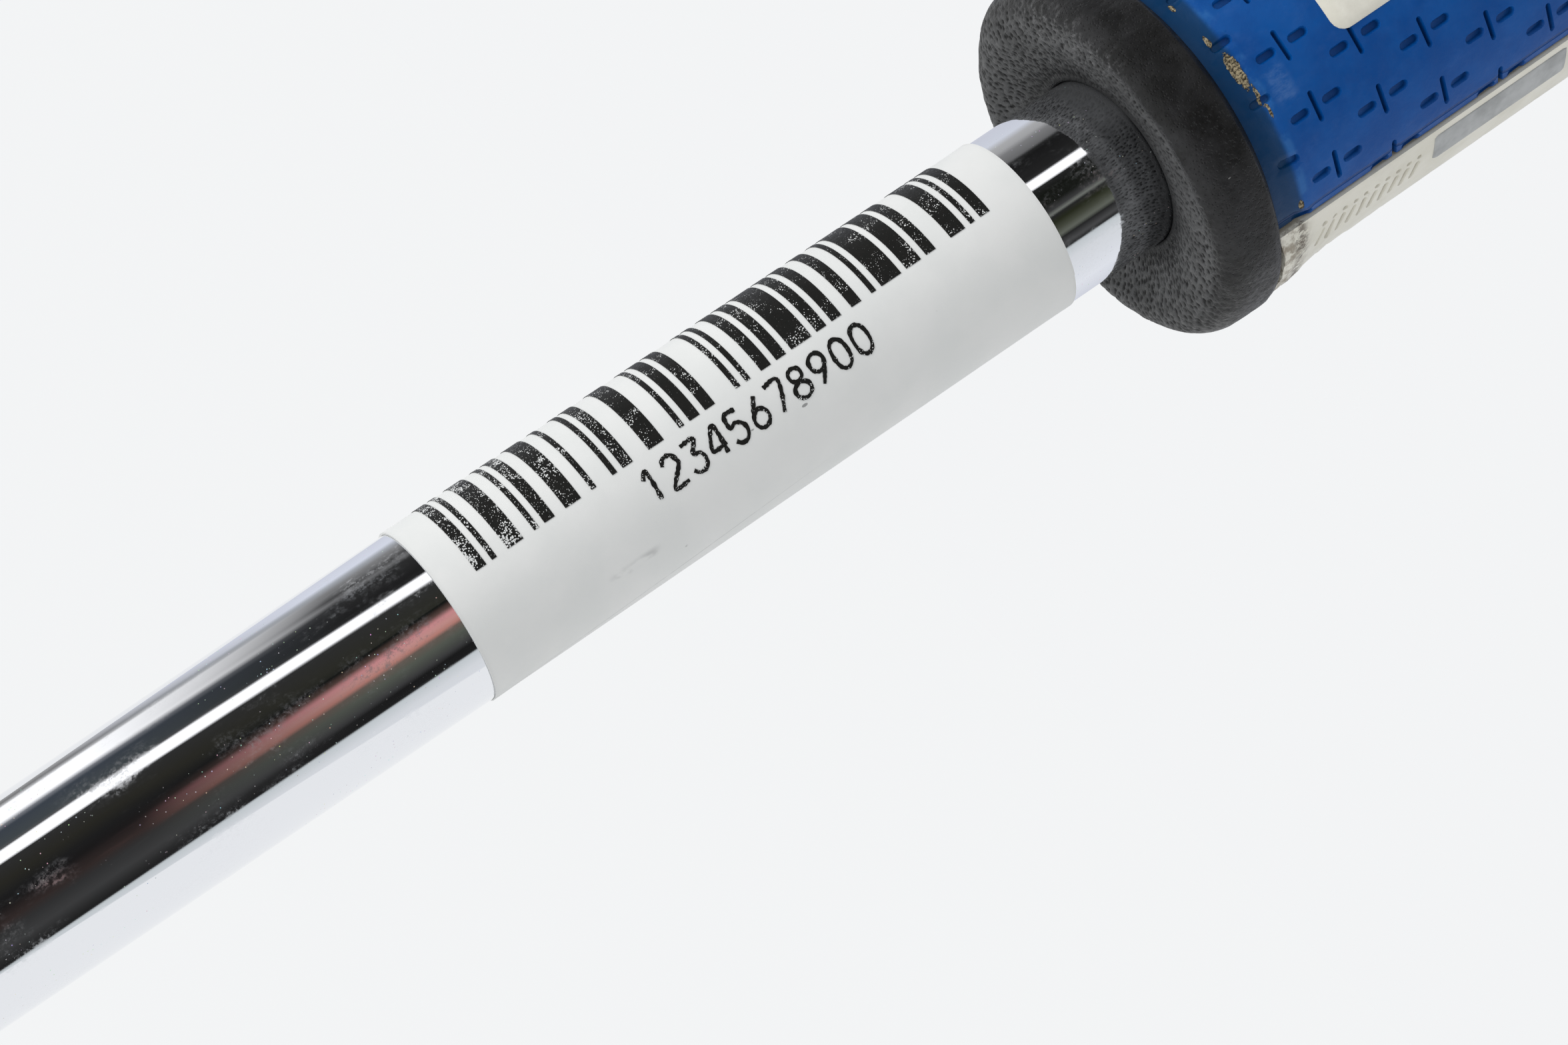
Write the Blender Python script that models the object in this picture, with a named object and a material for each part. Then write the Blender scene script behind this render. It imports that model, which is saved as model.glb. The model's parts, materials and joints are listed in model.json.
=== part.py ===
"""Golf putter with an oversize moulded grip, standing at address on its sole.

Metres, +Z up. The origin is the centre of the sole on the ground, the face looks along -Y,
the heel is +X and the toe -X. The shaft leans towards the heel at its lie angle.
"""

import math

import bmesh
import bpy
from mathutils import Matrix, Vector

INCH = 0.0254
GAP = 0.0003                      # clearance between pieces that touch
LIE = math.radians(70)            # shaft to ground
LOFT = math.radians(3)            # face to the vertical

# Distances along the shaft's axis start where the axis meets the ground.
PUTTER_LENGTH = 35 * INCH

HEAD_WIDTH = 0.100                # heel to toe
HEAD_DEPTH = 0.064                # face to back
BAR_HEIGHT = 0.025                # the tall bar behind the face
BAR_DEPTH = 0.018
FLANGE_HEIGHT = 0.016
REAR_CORNER = 0.030
EDGE_ROUND = 0.0012

SHAFT_BUTT_R = 0.600 * INCH / 2
SHAFT_TIP_R = 0.370 * INCH / 2
SHAFT_WALL = 0.0005
SHAFT_X = 0.020                   # where the axis meets the ground
SHAFT_Y = -(HEAD_DEPTH / 2 + SHAFT_TIP_R)
TIP_PARALLEL_END = 0.125

NECK_X = 0.0305
NECK_Y = -0.021
NECK_BOTTOM_Z = 0.014
NECK_SPIGOT_R = 0.0036
NECK_FOOT_R = 0.0056
NECK_SLEEVE_R = 0.0064
NECK_BORE_FROM = 0.056
NECK_TOP = 0.080
NECK_BEND_TOP = 0.053
NECK_HANDLE = 0.0125              # how far the bend's two ends run straight

GRIP_MOUTH = PUTTER_LENGTH - 0.270
COLLAR_LENGTH = 0.0070
COLLAR_R = 0.0165
COLLAR_ROUND = 0.0037
MOUTH_LIP = 0.0006
SKIN_R = 0.0156
SKIN_THICKNESS = 0.0012
SKIN_FRONT_HALF_ANGLE = math.radians(90)
CAP_THICKNESS = 0.0047
TAPE_THICKNESS = 0.00028
SHAFT_BUTT = PUTTER_LENGTH - 0.031
INSERT_SLEEVE_R = 0.0102
INSERT_BORE_R = 0.0079

LABEL_LENGTH = 2.25 * INCH
LABEL_GAP = 0.0073                # bare shaft between label and grip
LABEL_THICKNESS = 0.0002
LABEL_CLEARANCE = 0.0001
TAPER_START = GRIP_MOUTH - LABEL_GAP - LABEL_LENGTH

WEIGHT_HEAD_R = 0.0075
WEIGHT_BODY_R = 0.0060
WEIGHT_HEAD_LENGTH = 0.0122
WEIGHT_LENGTH = 0.0522
WEIGHT_SINK = 0.0008              # below the cap's face
GROOVE_AT = 0.0060                # O-ring groove, from the weight's lower end
GROOVE_R = 0.0050
O_RING_R = 0.0006

SOLE_PLATE = (0.058, 0.040)
SOLE_PLATE_Y = -0.003
SOLE_PLATE_THICKNESS = 0.0020
CAVITY = (0.034, 0.020)
CAVITY_Y = -0.002
CAVITY_TOP = 0.0123
SCREW_X = 0.024
SCREW_YS = (-0.018, 0.012)
SCREW_R = 0.0013
SCREW_HEAD_R = 0.0026
SCREW_LENGTH = 0.0068
HEX_DEPTH = 0.0010

INSERT = (0.072, 0.016)
INSERT_THICKNESS = 0.0030
BED_THICKNESS = 0.0008
INSERT_CENTRE = 0.0122            # up the face from the leading edge

HEAD_WEIGHT_R = 0.0042
HEAD_WEIGHT_LENGTH = 0.0150
HEAD_WEIGHT_Z = 0.0090
HEAD_WEIGHT_SINK = 0.0009

SIGHT_LINE = (0.0016, 0.036)
SIGHT_LINE_Y = 0.009
SIGHT_LINE_DEPTH = 0.0008

ROUND = 32                        # sides of the larger round pieces
SMALL_ROUND = 20

# name: (colour, roughness, metallic)
FINISHES = {
    "chrome": ((0.80, 0.80, 0.82), 0.06, 1.0),
    "satin_steel": ((0.62, 0.62, 0.63), 0.32, 1.0),
    "satin_aluminium": ((0.70, 0.70, 0.71), 0.38, 1.0),
    "blue_skin": ((0.006, 0.045, 0.22), 0.45, 0.0),
    "cream_skin": ((0.76, 0.74, 0.64), 0.50, 0.0),
    "black_foam": ((0.035, 0.036, 0.040), 0.70, 0.0),
    "label_paper": ((0.78, 0.79, 0.78), 0.55, 0.0),
    "tape": ((0.70, 0.62, 0.45), 0.80, 0.0),
    "cap_rubber": ((0.02, 0.02, 0.022), 0.60, 0.0),
    "anodised": ((0.05, 0.05, 0.06), 0.35, 1.0),
    "steel_weight": ((0.50, 0.50, 0.51), 0.30, 1.0),
    "tungsten": ((0.30, 0.30, 0.31), 0.30, 1.0),
    "insert_polymer": ((0.05, 0.052, 0.058), 0.45, 0.0),
    "white_paint": ((0.85, 0.85, 0.84), 0.35, 0.0),
}


def clear_scene():
    for old in list(bpy.data.objects):
        bpy.data.objects.remove(old, do_unlink=True)


def finish(name):
    """The material of one finish, made the first time it is asked for."""
    if name in bpy.data.materials:
        return bpy.data.materials[name]
    colour, roughness, metallic = FINISHES[name]
    material = bpy.data.materials.new(name)
    material.use_nodes = True
    shader = material.node_tree.nodes["Principled BSDF"]
    shader.inputs["Base Color"].default_value = (*colour, 1)
    shader.inputs["Roughness"].default_value = roughness
    shader.inputs["Metallic"].default_value = metallic
    return material


def empty(name, location, rotation):
    """A frame that pieces are parented to; rotation is a quaternion."""
    frame = bpy.data.objects.new(name, None)
    frame.location = location
    frame.rotation_mode = 'QUATERNION'
    frame.rotation_quaternion = rotation
    bpy.context.collection.objects.link(frame)
    return frame


def loft(name, rings, material, parent=None, hollow=False):
    """A closed solid through rings of equal count: capped, or joined end to end if hollow."""
    mesh = bmesh.new()
    rows = [[mesh.verts.new(point) for point in ring] for ring in rings]
    following = rows[1:] + rows[:1] if hollow else rows[1:]
    for row, after in zip(rows, following):
        for i in range(len(row)):
            j = (i + 1) % len(row)
            mesh.faces.new((row[i], row[j], after[j], after[i]))
    if not hollow:
        mesh.faces.new(rows[0])
        mesh.faces.new(rows[-1])
    bmesh.ops.recalc_face_normals(mesh, faces=mesh.faces)
    data = bpy.data.meshes.new(name)
    mesh.to_mesh(data)
    mesh.free()
    data.shade_smooth()
    data.set_sharp_from_angle(angle=math.radians(35))
    piece = bpy.data.objects.new(name, data)
    bpy.context.collection.objects.link(piece)
    piece.parent = parent
    data.materials.append(finish(material))
    return piece


def circle(radius, height, sides=ROUND, centre=(0, 0)):
    turn = 2 * math.pi / sides
    return [Vector((centre[0] + radius * math.cos(turn * i), centre[1] + radius * math.sin(turn * i), height))
            for i in range(sides)]


def turned(name, profile, material, parent=None, sides=ROUND, hollow=False):
    """A turned piece from (radius, height) points, solid to the axis unless hollow."""
    return loft(name, [circle(r, z, sides) for r, z in profile], material, parent, hollow)


def arc(centre, radius, start, end, steps):
    """Points on an arc in the plane, angles in degrees."""
    angles = [math.radians(start + (end - start) * i / steps) for i in range(steps + 1)]
    return [(centre[0] + radius * math.cos(a), centre[1] + radius * math.sin(a)) for a in angles]


def rounded_rectangle(width, depth, radius, centre=(0, 0), steps=3):
    points = []
    for quarter, (sx, sy) in enumerate([(1, 1), (-1, 1), (-1, -1), (1, -1)]):
        corner = (centre[0] + sx * (width / 2 - radius), centre[1] + sy * (depth / 2 - radius))
        points += arc(corner, radius, 90 * quarter, 90 * quarter + 90, steps)
    return points


def prism(name, outline, bottom, top, material, parent=None):
    return loft(name, [[Vector((x, y, z)) for x, y in outline] for z in (bottom, top)], material, parent)


def cut(target, cutter):
    """Subtract the cutter, and keep it only as a hidden guide."""
    cutter.hide_render = True
    cutter.display_type = 'WIRE'
    boolean = target.modifiers.new("cut_" + cutter.name, 'BOOLEAN')
    boolean.operation = 'DIFFERENCE'
    boolean.solver = 'EXACT'
    boolean.object = cutter


def hex_socket(name, across, depth, top, parent):
    """A cutter for a hexagon socket that goes down from height top."""
    radius = across / math.sqrt(3)
    return turned(name, [(radius, top - depth), (radius, top + 0.002)], "satin_steel", parent, sides=6)


def on_shaft(distance):
    """The point on the shaft's axis at a distance from the ground."""
    return Vector((SHAFT_X, SHAFT_Y, 0)) + distance * Vector((math.cos(LIE), 0, math.sin(LIE)))


def build_shaft(axis):
    tip = NECK_BORE_FROM + GAP
    outer = [(SHAFT_TIP_R, tip), (SHAFT_TIP_R, TIP_PARALLEL_END),
             (SHAFT_BUTT_R, TAPER_START), (SHAFT_BUTT_R, SHAFT_BUTT)]
    inner = [(r - SHAFT_WALL, z) for r, z in reversed(outer)]
    turned("shaft", outer + inner, "chrome", axis, hollow=True)

    low = GRIP_MOUTH - LABEL_GAP - LABEL_LENGTH
    high = low + LABEL_LENGTH
    r_in = SHAFT_BUTT_R + LABEL_CLEARANCE
    r_out = r_in + LABEL_THICKNESS
    turned("shaft_label", [(r_out, low), (r_out, high), (r_in, high), (r_in, low)],
           "label_paper", axis, hollow=True)


def build_grip(axis):
    cap_under = PUTTER_LENGTH - CAP_THICKNESS
    skin_from = GRIP_MOUTH + COLLAR_LENGTH + GAP
    skin_to = cap_under - GAP
    core_r = SKIN_R - SKIN_THICKNESS - GAP
    tape_in = SHAFT_BUTT_R + 0.0001
    tape_out = tape_in + TAPE_THICKNESS
    bore = tape_out + 0.0001

    turned("grip_tape", [(tape_out, GRIP_MOUTH + 0.002), (tape_out, SHAFT_BUTT - 0.002),
                         (tape_in, SHAFT_BUTT - 0.002), (tape_in, GRIP_MOUTH + 0.002)],
           "tape", axis, hollow=True)

    # The collar's rim is a half round, and a low lip surrounds the shaft in the dished face.
    rim = arc((COLLAR_R - COLLAR_ROUND, GRIP_MOUTH + COLLAR_ROUND), COLLAR_ROUND, -90, 0, 4)
    sleeve_seat = SHAFT_BUTT + GAP
    core = [(bore, GRIP_MOUTH), (bore + 0.0020, GRIP_MOUTH), (bore + 0.0028, GRIP_MOUTH + MOUTH_LIP)]
    core += rim
    core += [(COLLAR_R, GRIP_MOUTH + COLLAR_LENGTH - 0.001),
             (COLLAR_R - 0.0006, GRIP_MOUTH + COLLAR_LENGTH), (core_r, GRIP_MOUTH + COLLAR_LENGTH),
             (core_r, skin_to), (INSERT_SLEEVE_R + GAP, skin_to), (INSERT_SLEEVE_R + GAP, sleeve_seat),
             (bore, sleeve_seat)]
    turned("grip_core", core, "black_foam", axis, hollow=True)

    seam = GAP / (2 * SKIN_R)
    panels = {"grip_skin_front": (math.pi, SKIN_FRONT_HALF_ANGLE, "blue_skin"),
              "grip_skin_back": (0, math.pi - SKIN_FRONT_HALF_ANGLE, "cream_skin")}
    inner_r = SKIN_R - SKIN_THICKNESS
    edge = SKIN_THICKNESS / 3
    section = [(inner_r, skin_from), (SKIN_R - edge, skin_from), (SKIN_R, skin_from + edge),
               (SKIN_R, skin_to), (inner_r, skin_to)]
    steps = ROUND // 2
    for name, (middle, half, material) in panels.items():
        half -= seam
        angles = [middle - half + 2 * half * i / steps for i in range(steps + 1)]
        rings = [[Vector((r * math.cos(a), r * math.sin(a), z)) for r, z in section] for a in angles]
        loft(name, rings, material, axis)

    hole = INSERT_SLEEVE_R + GAP
    cap = [(hole, cap_under), (SKIN_R - 0.0004, cap_under)]
    cap += arc((SKIN_R - 0.0018, PUTTER_LENGTH - 0.0018), 0.0018, 0, 90, 4)
    cap += [(hole, PUTTER_LENGTH)]
    turned("butt_cap", cap, "cap_rubber", axis, hollow=True)

    sleeve_from = SHAFT_BUTT + 2 * GAP
    sleeve_to = PUTTER_LENGTH - 0.0004
    turned("butt_insert", [(INSERT_BORE_R, sleeve_from), (INSERT_SLEEVE_R, sleeve_from),
                           (INSERT_SLEEVE_R, sleeve_to), (INSERT_BORE_R, sleeve_to)],
           "anodised", axis, hollow=True)


def build_counterweight(axis):
    """The weight that screws into the butt; its origin is on the shaft's axis."""
    top = PUTTER_LENGTH - WEIGHT_SINK
    bottom = top - WEIGHT_LENGTH
    neck = top - WEIGHT_HEAD_LENGTH
    low, high = bottom + GROOVE_AT - 0.0008, bottom + GROOVE_AT + 0.0008
    profile = [(WEIGHT_BODY_R - 0.001, bottom), (WEIGHT_BODY_R, bottom + 0.001), (WEIGHT_BODY_R, low),
               (GROOVE_R, low), (GROOVE_R, high), (WEIGHT_BODY_R, high), (WEIGHT_BODY_R, neck),
               (WEIGHT_HEAD_R, neck), (WEIGHT_HEAD_R, top - 0.0006), (WEIGHT_HEAD_R - 0.0006, top)]
    weight = turned("counterweight", profile, "steel_weight", axis)
    cut(weight, hex_socket("weight_hex", 0.006, 0.005, top, axis))

    ring_r = GROOVE_R + O_RING_R + 0.0001
    ring = arc((ring_r, bottom + GROOVE_AT), O_RING_R, 0, 315, 7)
    turned("counterweight_o_ring", ring, "cap_rubber", axis, hollow=True)


def build_neck():
    """A double-bend neck: spigot in the head, offset bend, and a blind sleeve for the shaft's tip."""
    lean = Vector((math.cos(LIE), 0, math.sin(LIE)))
    foot_z = BAR_HEIGHT + GAP
    start = Vector((NECK_X, NECK_Y, foot_z + 0.002))
    end = on_shaft(NECK_BEND_TOP)
    controls = [start, start + NECK_HANDLE * Vector((0, 0, 1)), end - NECK_HANDLE * lean, end]
    steps = 12
    centres, radii, ways = [], [], []
    for i in range(steps + 1):
        t = i / steps
        weights = [(1 - t) ** 3, 3 * t * (1 - t) ** 2, 3 * t * t * (1 - t), t ** 3]
        slopes = [-(1 - t) ** 2, (1 - t) ** 2 - 2 * t * (1 - t), 2 * t * (1 - t) - t * t, t * t]
        centres.append(sum((w * c for w, c in zip(weights, controls)), Vector()))
        ways.append(sum((w * c for w, c in zip(slopes, controls)), Vector()).normalized())
        radii.append(NECK_FOOT_R + (NECK_SLEEVE_R - NECK_FOOT_R) * t)

    spigot = [(NECK_BOTTOM_Z, NECK_SPIGOT_R - 0.0005), (NECK_BOTTOM_Z + 0.0005, NECK_SPIGOT_R),
              (foot_z, NECK_SPIGOT_R), (foot_z, NECK_FOOT_R)]
    stations = [(Vector((NECK_X, NECK_Y, z)), Vector((0, 0, 1)), r) for z, r in spigot]
    stations += list(zip(centres, ways, radii))
    bore_r = SHAFT_TIP_R + GAP / 2
    stations += [(on_shaft(s), lean, r) for s, r in [
        (NECK_TOP - 0.0006, NECK_SLEEVE_R), (NECK_TOP, NECK_SLEEVE_R - 0.0006),
        (NECK_TOP, bore_r), (NECK_BORE_FROM, bore_r)]]

    rings = []
    for centre, way, radius in stations:
        side = Vector((0, 1, 0)).cross(way).normalized()
        place = Matrix((side, way.cross(side), way)).transposed()
        rings.append([centre + place @ point for point in circle(radius, 0, SMALL_ROUND + 4)])
    loft("hosel_neck", rings, "satin_steel")


def head_outline():
    half = HEAD_WIDTH / 2
    back = HEAD_DEPTH / 2
    corner_x, corner_y = half - REAR_CORNER, back - REAR_CORNER
    points = [(-half, -back), (half, -back)]
    points += arc((corner_x, corner_y), REAR_CORNER, 0, 90, 10)
    points += arc((-corner_x, corner_y), REAR_CORNER, 90, 180, 10)
    return points


def face_point(width, height):
    """Outline of a rectangle with round corners on the face, in the face's own frame."""
    return rounded_rectangle(width, height, 0.003, (0, INSERT_CENTRE))


def weight_frames():
    """One frame for each head weight, at its bore's mouth, with +Z the way the weight comes out."""
    frames = {}
    for side, name in ((1, "heel_weight"), (-1, "toe_weight")):
        out = Vector((side, 1, 0)).normalized()
        corner = Vector((side * (HEAD_WIDTH / 2 - REAR_CORNER), HEAD_DEPTH / 2 - REAR_CORNER, HEAD_WEIGHT_Z))
        frames[name] = empty(name + "_axis", corner + REAR_CORNER * out, out.to_track_quat('Z', 'Y'))
    return frames


def build_head(face, weight_axes):
    big = HEAD_WIDTH
    head = prism("head_body", head_outline(), 0, BAR_HEIGHT, "satin_aluminium")

    behind_bar = -HEAD_DEPTH / 2 + BAR_DEPTH
    cut(head, prism("above_flange", [(-big, behind_bar), (big, behind_bar), (big, big), (-big, big)],
                    FLANGE_HEIGHT, BAR_HEIGHT + 0.01, "satin_steel"))
    cut(head, prism("before_face", [(-big, -big), (big, -big), (big, big), (-big, big)],
                    0, 0.02, "satin_steel", face))

    bevel = head.modifiers.new("edges", 'BEVEL')
    bevel.width = EDGE_ROUND
    bevel.segments = 2
    bevel.limit_method = 'ANGLE'
    bevel.angle_limit = math.radians(40)

    pocket_depth = INSERT_THICKNESS + BED_THICKNESS + 2 * GAP
    cut(head, prism("insert_pocket", face_point(INSERT[0] + 2 * GAP, INSERT[1] + 2 * GAP),
                    -pocket_depth, 0.01, "satin_steel", face))

    plate_w, plate_d = SOLE_PLATE
    cut(head, prism("sole_recess", rounded_rectangle(plate_w + 2 * GAP, plate_d + 2 * GAP, 0.006,
                                                     (0, SOLE_PLATE_Y)),
                    -0.01, SOLE_PLATE_THICKNESS + GAP, "satin_steel"))
    cut(head, prism("cavity", rounded_rectangle(*CAVITY, 0.004, (0, CAVITY_Y)),
                    SOLE_PLATE_THICKNESS, CAVITY_TOP, "satin_steel"))
    for i, (x, y) in enumerate(screw_places()):
        cut(head, loft("screw_hole_%d" % (i + 1),
                       [circle(SCREW_R + GAP, z, SMALL_ROUND, (x, y)) for z in (0, SCREW_LENGTH + 0.001)],
                       "satin_steel"))
    for name, axis in weight_axes.items():
        cut(head, turned(name + "_bore", [(HEAD_WEIGHT_R + GAP, -HEAD_WEIGHT_LENGTH - HEAD_WEIGHT_SINK - GAP),
                                          (HEAD_WEIGHT_R + GAP, 0.01)],
                         "satin_steel", axis, sides=SMALL_ROUND + 4))
    cut(head, loft("neck_bore", [circle(NECK_SPIGOT_R + GAP, z, SMALL_ROUND, (NECK_X, NECK_Y))
                                 for z in (NECK_BOTTOM_Z - GAP, BAR_HEIGHT + 0.01)], "satin_steel"))
    line_w, line_l = SIGHT_LINE
    groove = rounded_rectangle(line_w + 2 * GAP, line_l + 2 * GAP, line_w / 2, (0, SIGHT_LINE_Y))
    groove_floor = FLANGE_HEIGHT - SIGHT_LINE_DEPTH - GAP
    cut(head, prism("sight_groove", groove, groove_floor, FLANGE_HEIGHT + 0.01, "satin_steel"))

    prism("sight_line", rounded_rectangle(line_w, line_l, line_w / 2.2, (0, SIGHT_LINE_Y)),
          groove_floor + GAP, FLANGE_HEIGHT - 0.0001, "white_paint")
    prism("damping_core", rounded_rectangle(CAVITY[0] - 2 * GAP, CAVITY[1] - 2 * GAP, 0.0038, (0, CAVITY_Y)),
          SOLE_PLATE_THICKNESS + 2 * GAP, CAVITY_TOP - GAP, "cap_rubber")


def screw_places():
    return [(sx * SCREW_X, y) for y in SCREW_YS for sx in (-1, 1)]


def build_face_insert(face):
    prism("face_insert", face_point(*INSERT), -INSERT_THICKNESS, 0, "insert_polymer", face)
    bed_top = -INSERT_THICKNESS - GAP
    prism("insert_bed", face_point(INSERT[0] - 0.001, INSERT[1] - 0.001),
          bed_top - BED_THICKNESS, bed_top, "cap_rubber", face)


def build_sole():
    plate = prism("sole_plate", rounded_rectangle(*SOLE_PLATE, 0.0058, (0, SOLE_PLATE_Y)),
                  0, SOLE_PLATE_THICKNESS, "anodised")
    head_height = SCREW_HEAD_R - SCREW_R
    for i, (x, y) in enumerate(screw_places()):
        sink = [(SCREW_HEAD_R + GAP, -0.001), (SCREW_HEAD_R + GAP, 0.0003),
                (SCREW_R + GAP, 0.0003 + head_height), (SCREW_R + GAP, SOLE_PLATE_THICKNESS + 0.001)]
        cut(plate, loft("screw_sink_%d" % (i + 1), [circle(r, z, SMALL_ROUND, (x, y)) for r, z in sink],
                        "anodised"))
        axis = empty("sole_screw_axis_%d" % (i + 1), (x, y, 0), (1, 0, 0, 0))
        screw = turned("sole_screw_%d" % (i + 1),
                       [(SCREW_HEAD_R, 0.0003), (SCREW_R, 0.0003 + head_height),
                        (SCREW_R, SCREW_LENGTH - 0.0005), (SCREW_R - 0.0005, SCREW_LENGTH)],
                       "satin_steel", axis, sides=SMALL_ROUND)
        socket_r = 0.002 / math.sqrt(3)
        cut(screw, turned("screw_hex_%d" % (i + 1), [(socket_r, -0.001), (socket_r, 0.0003 + HEX_DEPTH)],
                          "satin_steel", axis, sides=6))


def build_head_weights(weight_axes):
    """Screwed-in weights; each has its origin on its own bore's axis."""
    for name, axis in weight_axes.items():
        top = -HEAD_WEIGHT_SINK
        bottom = top - HEAD_WEIGHT_LENGTH
        weight = turned(name, [(HEAD_WEIGHT_R - 0.0006, bottom), (HEAD_WEIGHT_R, bottom + 0.0006),
                               (HEAD_WEIGHT_R, top - 0.0004), (HEAD_WEIGHT_R - 0.0004, top)],
                        "tungsten", axis, sides=SMALL_ROUND + 4)
        cut(weight, hex_socket(name + "_hex", 0.004, 0.003, top, axis))


def main():
    clear_scene()
    up = Vector((0, 0, 1))
    lean = Vector((math.cos(LIE), 0, math.sin(LIE)))
    shaft_axis = empty("shaft_axis", on_shaft(0), up.rotation_difference(lean))
    face_normal = Vector((0, -math.cos(LOFT), math.sin(LOFT)))
    face_frame = empty("face_frame", (0, -HEAD_DEPTH / 2, 0), up.rotation_difference(face_normal))
    weight_axes = weight_frames()

    build_shaft(shaft_axis)
    build_grip(shaft_axis)
    build_counterweight(shaft_axis)
    build_neck()
    build_head(face_frame, weight_axes)
    build_face_insert(face_frame)
    build_sole()
    build_head_weights(weight_axes)


main()
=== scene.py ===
"""Looks of the golf putter: its pieces in fine detail, their materials, the studio and the camera."""

import json
import math

import bmesh
import bpy
import numpy as np
from mathutils import Matrix, Vector, noise
from mathutils.geometry import delaunay_2d_cdt


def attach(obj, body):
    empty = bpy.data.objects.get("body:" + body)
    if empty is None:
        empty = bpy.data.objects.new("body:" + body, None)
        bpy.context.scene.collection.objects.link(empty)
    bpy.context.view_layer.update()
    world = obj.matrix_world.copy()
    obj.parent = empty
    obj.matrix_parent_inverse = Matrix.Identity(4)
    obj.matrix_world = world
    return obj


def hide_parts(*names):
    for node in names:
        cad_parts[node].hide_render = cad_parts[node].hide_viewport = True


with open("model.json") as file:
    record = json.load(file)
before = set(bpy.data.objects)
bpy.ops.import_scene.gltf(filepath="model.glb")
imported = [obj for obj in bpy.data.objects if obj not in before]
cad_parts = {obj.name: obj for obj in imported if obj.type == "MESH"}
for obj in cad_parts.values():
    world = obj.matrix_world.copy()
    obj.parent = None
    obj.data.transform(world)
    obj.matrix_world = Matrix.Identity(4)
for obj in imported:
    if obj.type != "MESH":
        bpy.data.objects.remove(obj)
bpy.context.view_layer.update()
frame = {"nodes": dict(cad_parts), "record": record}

MM = 0.001

# ---- the shaft's frame

HOLD = next(m for m in frame["record"]["mounts"] if m["name"] == "grip")
AXIS = Vector(HOLD["axis"]).normalized()
FRONT = Vector((-AXIS.z, 0, AXIS.x))  # the grip's thumb side
SIDE = AXIS.cross(FRONT)


def span(node):
    """Where a node starts and ends along the shaft's axis, in mm above the axis's foot."""
    places = [v.co.dot(AXIS) for v in frame["nodes"][node].data.vertices]
    return (min(places) - FOOT.dot(AXIS)) / MM, (max(places) - FOOT.dot(AXIS)) / MM


def reach(node):
    """A node's largest radius about the shaft's axis, in mm."""
    offsets = [v.co - FOOT for v in frame["nodes"][node].data.vertices]
    return max((o - AXIS * o.dot(AXIS)).length for o in offsets) / MM


FOOT = Vector(HOLD["pos_m"]) - AXIS * (HOLD["pos_m"][2] / AXIS.z)
MOUTH = span("grip_core")[0]
SKIN_START, SKIN_END = span("grip_skin_front")
SKIN_R = reach("grip_skin_front")
COLLAR_R = reach("grip_core")
SHAFT_START, SHAFT_END = span("shaft")
SHAFT_R = reach("shaft")
LABEL_START, LABEL_END = span("shaft_label")
TIP_R = 4.699
TAPER_FROM = 125.0  # the tip's parallel stretch ends here
GRIP_TURN = 35.5  # from the thumb side to the side the camera faces, degrees

OVERLAP_TURN = 68.0  # from the camera's side, where the label's free edge lies
OVERLAP_SKEW = -0.55  # degrees per mm of the free edge's slant
OVERLAP_AT = (LABEL_START + LABEL_END) / 2 - 5

# The shaft's frame as a matrix: x to the thumb side, z up the shaft, in mm.
SHAFT_FRAME = Matrix((FRONT, SIDE, AXIS)).transposed().to_4x4()
SHAFT_FRAME.translation = FOOT
SHAFT_MM = SHAFT_FRAME @ Matrix.Scale(MM, 4)


def on_shaft(points):
    """World places of an (n, 3) array in the shaft's frame, in mm."""
    m = np.array(SHAFT_MM)
    return np.asarray(points) @ m[:3, :3].T + m[:3, 3]


def polar(radius, turn, along):
    """Shaft-frame points from radius, turn in degrees from the thumb side, and distance along."""
    a = np.radians(turn)
    x, y, z = np.broadcast_arrays(radius * np.cos(a), radius * np.sin(a), along)
    return np.stack((x, y, z), axis=-1).reshape(-1, 3)


def free_edge(s):
    """The turn at which the label's free edge lies, s mm up the shaft."""
    return GRIP_TURN + OVERLAP_TURN + OVERLAP_SKEW * (s - OVERLAP_AT)


# ---- meshes

def add_piece(name, verts, faces, material, replaces=(), sharp=35):
    mesh = bpy.data.meshes.new(name)
    mesh.from_pydata(np.asarray(verts).tolist(), [], faces if isinstance(faces, list) else faces.tolist())
    fix = bmesh.new()
    fix.from_mesh(mesh)
    bmesh.ops.recalc_face_normals(fix, faces=fix.faces)
    fix.to_mesh(mesh)
    fix.free()
    return dress(bpy.data.objects.new(name, mesh), material, replaces, sharp)


def dress(piece, material, replaces=(), sharp=35):
    """Link and shade a new piece in place, and let it ride on the club."""
    bpy.context.collection.objects.link(piece)
    piece.data.shade_smooth()
    piece.data.set_sharp_from_angle(angle=math.radians(sharp))
    piece.data.materials.append(material)
    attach(piece, "club")
    if replaces:
        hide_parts(*replaces)
    return piece


def grid_faces(rows, columns, wrap_rows, wrap_columns=True):
    """Quads of a grid of rows x columns points, closed round its rows or columns as asked."""
    i = np.arange(rows if wrap_rows else rows - 1)[:, None]
    j = np.arange(columns if wrap_columns else columns - 1)[None, :]
    i2, j2 = (i + 1) % rows, (j + 1) % columns
    corners = i * columns + j, i * columns + j2, i2 * columns + j2, i2 * columns + j
    return np.stack(np.broadcast_arrays(*corners), axis=-1).reshape(-1, 4)


def turned_tube(name, profile, sides, material, replaces):
    """A hollow turned piece from a closed profile of (radius, distance) points."""
    turns = np.arange(sides) * 360 / sides
    points = np.concatenate([polar(r, turns, s) for r, s in profile])
    add_piece(name, on_shaft(points), grid_faces(len(profile), sides, True), material, replaces)


def arc(centre, radius, start, end, steps):
    angles = [math.radians(start + (end - start) * i / steps) for i in range(steps + 1)]
    return [(centre[0] + radius * math.cos(a), centre[1] + radius * math.sin(a)) for a in angles]


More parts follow.
